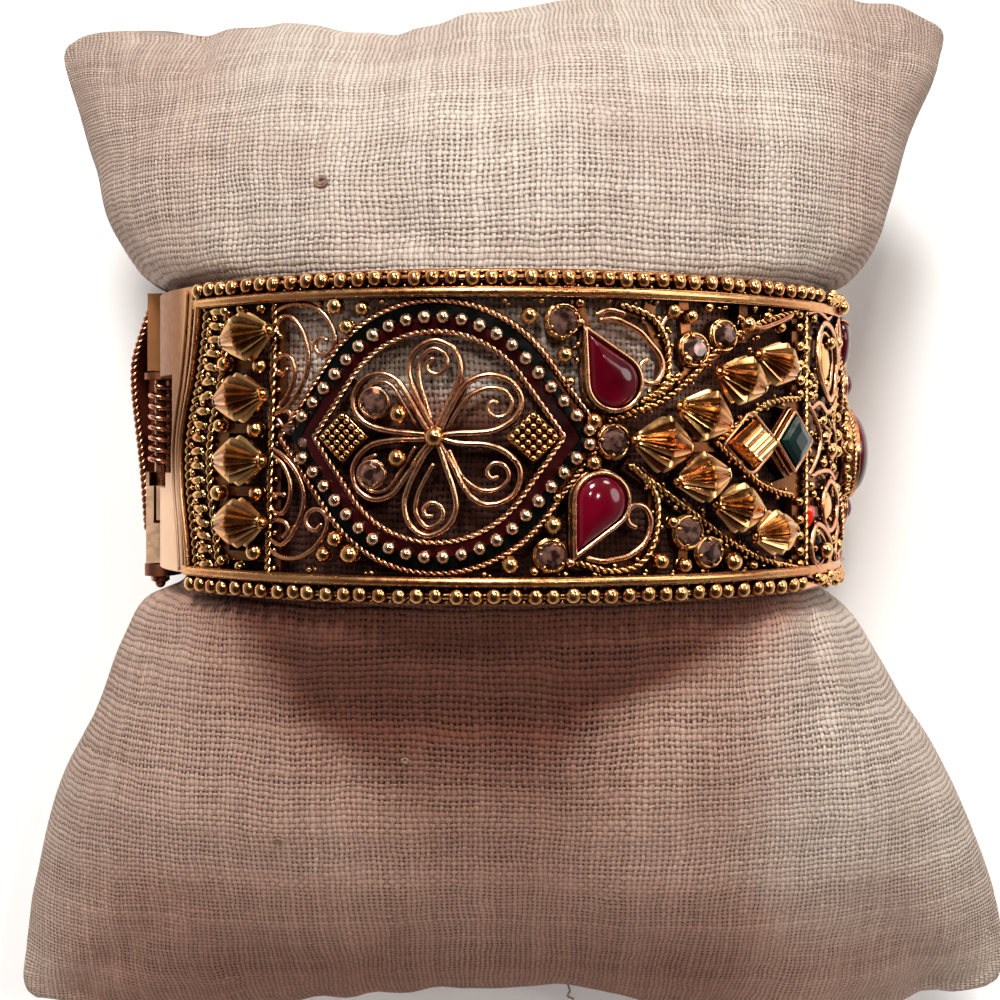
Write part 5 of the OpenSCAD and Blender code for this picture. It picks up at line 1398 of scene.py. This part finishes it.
    # painted shade: the upper part is a little browner towards both ends
    ends = np.maximum(np.clip((-21.0 - uw) / 7.0, 0, 1), np.clip((uw - 28.0) / 6.0, 0, 1))
    dark = np.maximum(dark, 0.13 * ends * np.clip((V[..., 1] - 16.0) / 3.0, 0, 1) * np.clip(nrm[..., 2] * 4 + 1.0, 0, 1))
    weave = np.stack([arc, np.broadcast_to(run[:, None], arc.shape), dark], -1)

    i = np.arange(rows - 1)[:, None]
    j = np.arange(cols)[None]
    quads = np.stack([i * cols + j, i * cols + (j + 1) % cols, (i + 1) * cols + (j + 1) % cols, (i + 1) * cols + j], -1).reshape(-1, 4)
    # both ends close along their seams
    lids, extra, ew = [], [], []
    base = rows * cols
    for r, rev in ((0, False), (rows - 1, True)):
        ids = r * cols + np.arange(cols)
        # pair upper with lower points across the seam
        q = []
        for a in range(1, cols // 2):
            hi, lo = a, (cols - a) % cols
            hi2, lo2 = a + 1, (cols - a - 1) % cols
            if a < cols // 2 - 1:
                q.append([r * cols + hi, r * cols + hi2, r * cols + lo2, r * cols + lo])
        q = np.array(q)
        lids.append(q if not rev else q[:, ::-1])
        t1 = np.array([[r * cols + 0, r * cols + 1, r * cols + cols - 1], [r * cols + cols // 2 - 1, r * cols + cols // 2, r * cols + cols // 2 + 1]])
        lids.append(t1 if not rev else t1[:, ::-1])
    p = Part()
    quads_o = quads if flip > 0 else quads[:, ::-1]
    p.add(V.reshape(-1, 3), quads_o, *[(l[:, ::-1] if flip > 0 else l) for l in lids])
    ob = p.make("linen_display_pillow", M_LINEN, "back_half", "linen", replaces=("display_pillow",), attribute=("weave", weave.reshape(-1, 3)))
    # underneath, where the thread count has run round both ways, it runs on instead of leaping back
    me = ob.data
    at_vertex = np.zeros(len(me.loops), np.int32)
    me.loops.foreach_get("vertex_index", at_vertex)
    corner = weave.reshape(-1, 3)[at_vertex].astype(np.float32)
    place = V.reshape(-1, 3)[at_vertex]
    pair = np.arange(4 * len(quads)).reshape(-1, 2)
    a, b = corner[pair[:, 0], 0], corner[pair[:, 1], 0]
    apart = np.linalg.norm(place[pair[:, 0]] - place[pair[:, 1]], axis=1)
    leap = np.abs(a - b) > 20.0
    corner[pair[:, 0], 0] = np.where(leap & (a > b), b - apart, a)
    corner[pair[:, 1], 0] = np.where(leap & (b > a), a - apart, b)
    me.attributes.remove(me.attributes["weave"])
    me.attributes.new("weave", "FLOAT_VECTOR", "CORNER").data.foreach_set("vector", corner.ravel())

    # knots and loose ends of yarn on the cloth
    kn = Part()
    flat, nf = V.reshape(-1, 3), nrm.reshape(-1, 3)
    for k, (kx, ky, size, long) in enumerate(((-15.9, 27.4, 0.50, 0.8), (-19.95, -29.4, 0.30, 0.9), (-9.3, -21.7, 0.26, 0.6))):
        at = int(np.argmin((flat[:, 0] - kx) ** 2 + (flat[:, 1] - ky) ** 2 + 100.0 * (nf[:, 2] < 0.1)))
        n0 = nf[at]
        t0 = unit(np.cross(n0, [0.3, 1.0, 0.1]))
        b0 = np.cross(n0, t0)
        w = np.linspace(0, 3.2 * PI, 46)
        rr = size * (1 - 0.6 * w / w[-1])
        c = flat[at] + n0 * (0.10 + 0.16 * size * w / w[-1])[:, None] + t0 * (rr * np.cos(w) * (1 + 0.3 * long))[:, None] + b0 * (rr * np.sin(w))[:, None]
        tube(kn, c, n0, size * 0.30 * (1 + 0.25 * np.sin(3 * w + k)), 7)
    # a dark thread end hangs from the lower seam
    at = int(np.argmin((flat[:, 0] - 5.9) ** 2 + (flat[:, 1] + 49.7) ** 2 + (flat[:, 2] - 21.0) ** 2))
    c = flat[at] + spline(np.array([[0, 0.3, 0.1], [0.3, -0.5, 0.35], [0.1, -1.1, 0.2], [0.7, -1.5, 0.0]]), 0.1)
    tube(kn, c, np.array([0, 0, 1.0]), 0.11, 6)
    kn.make("linen_knots", M_KNOT, "back_half", "linen")
    return ob


M_KNOT = node_tree("brown_yarn")
_co = object_coords(M_KNOT[1])
M_KNOT[1].links.new(mix(M_KNOT[1], span(M_KNOT[1], noise(M_KNOT[1], _co, 1500.0, 2.0), 0.35, 0.65), (0.16, 0.085, 0.060), (0.30, 0.19, 0.145)), M_KNOT[2].inputs["Base Color"])
M_KNOT[2].inputs["Roughness"].default_value = 0.9
M_KNOT = M_KNOT[0]
pillow()

# ------------------------------------------------------------------ floor, light, camera
def make_floor():
    me = bpy.data.meshes.new("floor")
    n, half = 24, 1.5
    g = np.linspace(-half, half, n)
    xx, yy = np.meshgrid(g, g, indexing="ij")
    verts = np.column_stack([xx.ravel(), yy.ravel(), np.zeros(n * n)])
    i = np.arange(n - 1)[:, None]
    j = np.arange(n - 1)[None]
    faces = np.stack([i * n + j, (i + 1) * n + j, (i + 1) * n + j + 1, i * n + j + 1], -1).reshape(-1, 4)
    me.from_pydata(verts.tolist(), [], faces.tolist())
    ob = bpy.data.objects.new("floor", me)
    bpy.context.scene.collection.objects.link(ob)
    m, nt, bsdf = node_tree("pale_floor")
    co = object_coords(nt)
    nt.links.new(mix(nt, span(nt, noise(nt, co, 9.0), 0.3, 0.7), (0.90, 0.90, 0.905), (0.93, 0.93, 0.935)), bsdf.inputs["Base Color"])
    bsdf.inputs["Roughness"].default_value = 0.9
    bsdf.inputs["Specular IOR Level"].default_value = 0.1
    me.materials.append(m)


make_floor()


def area(name, at, to, size, watts, colour=(1, 1, 1)):
    l = bpy.data.lights.new(name, "AREA")
    l.shape = "DISK"
    l.size = size
    l.energy = watts
    l.color = colour
    o = bpy.data.objects.new(name, l)
    bpy.context.scene.collection.objects.link(o)
    o.location = at
    o.rotation_euler = (Vector(to) - Vector(at)).to_track_quat("-Z", "Y").to_euler()
    return o


MIDDLE = (0, 0, 0.03)
area("key", (-0.06, 0.47, 0.46), MIDDLE, 0.15, 4.4, (1.0, 0.975, 0.95))
area("sparkle_a", (-0.05, 0.20, 0.50), MIDDLE, 0.035, 0.50, (1.0, 0.95, 0.86))
area("sparkle_b", (0.16, 0.12, 0.48), MIDDLE, 0.03, 0.30, (1.0, 0.95, 0.86))
area("side_right", (0.46, 0.14, 0.30), MIDDLE, 0.26, 0.8, (1.0, 0.95, 0.92))
fill = area("front_fill", (-0.16, -0.50, 0.30), MIDDLE, 0.36, 1.4, (1.0, 0.95, 0.92))
fill.visible_glossy = False
# a low panel at the upper right that only shows as pale streaks in the metal
streak = area("streak", (0.30, 0.44, 0.24), MIDDLE, 0.15, 1.0, (1.0, 0.95, 0.84))
streak.visible_diffuse = False
# a pale room that grows dark overhead
world = bpy.data.worlds.new("studio")
bpy.context.scene.world = world
world.use_nodes = True
wt = world.node_tree
sky = wt.nodes["Background"]
way = wt.nodes.new("ShaderNodeSeparateXYZ")
wt.links.new(wt.nodes.new("ShaderNodeTexCoord").outputs["Generated"], way.inputs[0])
high = math_node(wt, "SUBTRACT", way.outputs[2], math_node(wt, "MULTIPLY", way.outputs[1], 0.25))
wt.links.new(mix(wt, span(wt, high, 0.35, 0.85, 0.0, 1.0, "SMOOTHSTEP"), (0.97, 0.96, 0.98), (0.10, 0.040, 0.028)), sky.inputs[0])
sky.inputs[1].default_value = 0.27

cam = bpy.data.cameras.new("camera")
cam.sensor_width = 36.0
cam.lens = 52.96
cam.shift_y = -0.0507
cam.clip_start = 0.01
cam.clip_end = 10.0
co = bpy.data.objects.new("camera", cam)
bpy.context.scene.collection.objects.link(co)
co.location = (-0.00096, 0.0046, 0.1715)
co.rotation_euler = (0, 0, 0)
bpy.context.scene.camera = co
bpy.context.scene.view_settings.view_transform = "Standard"
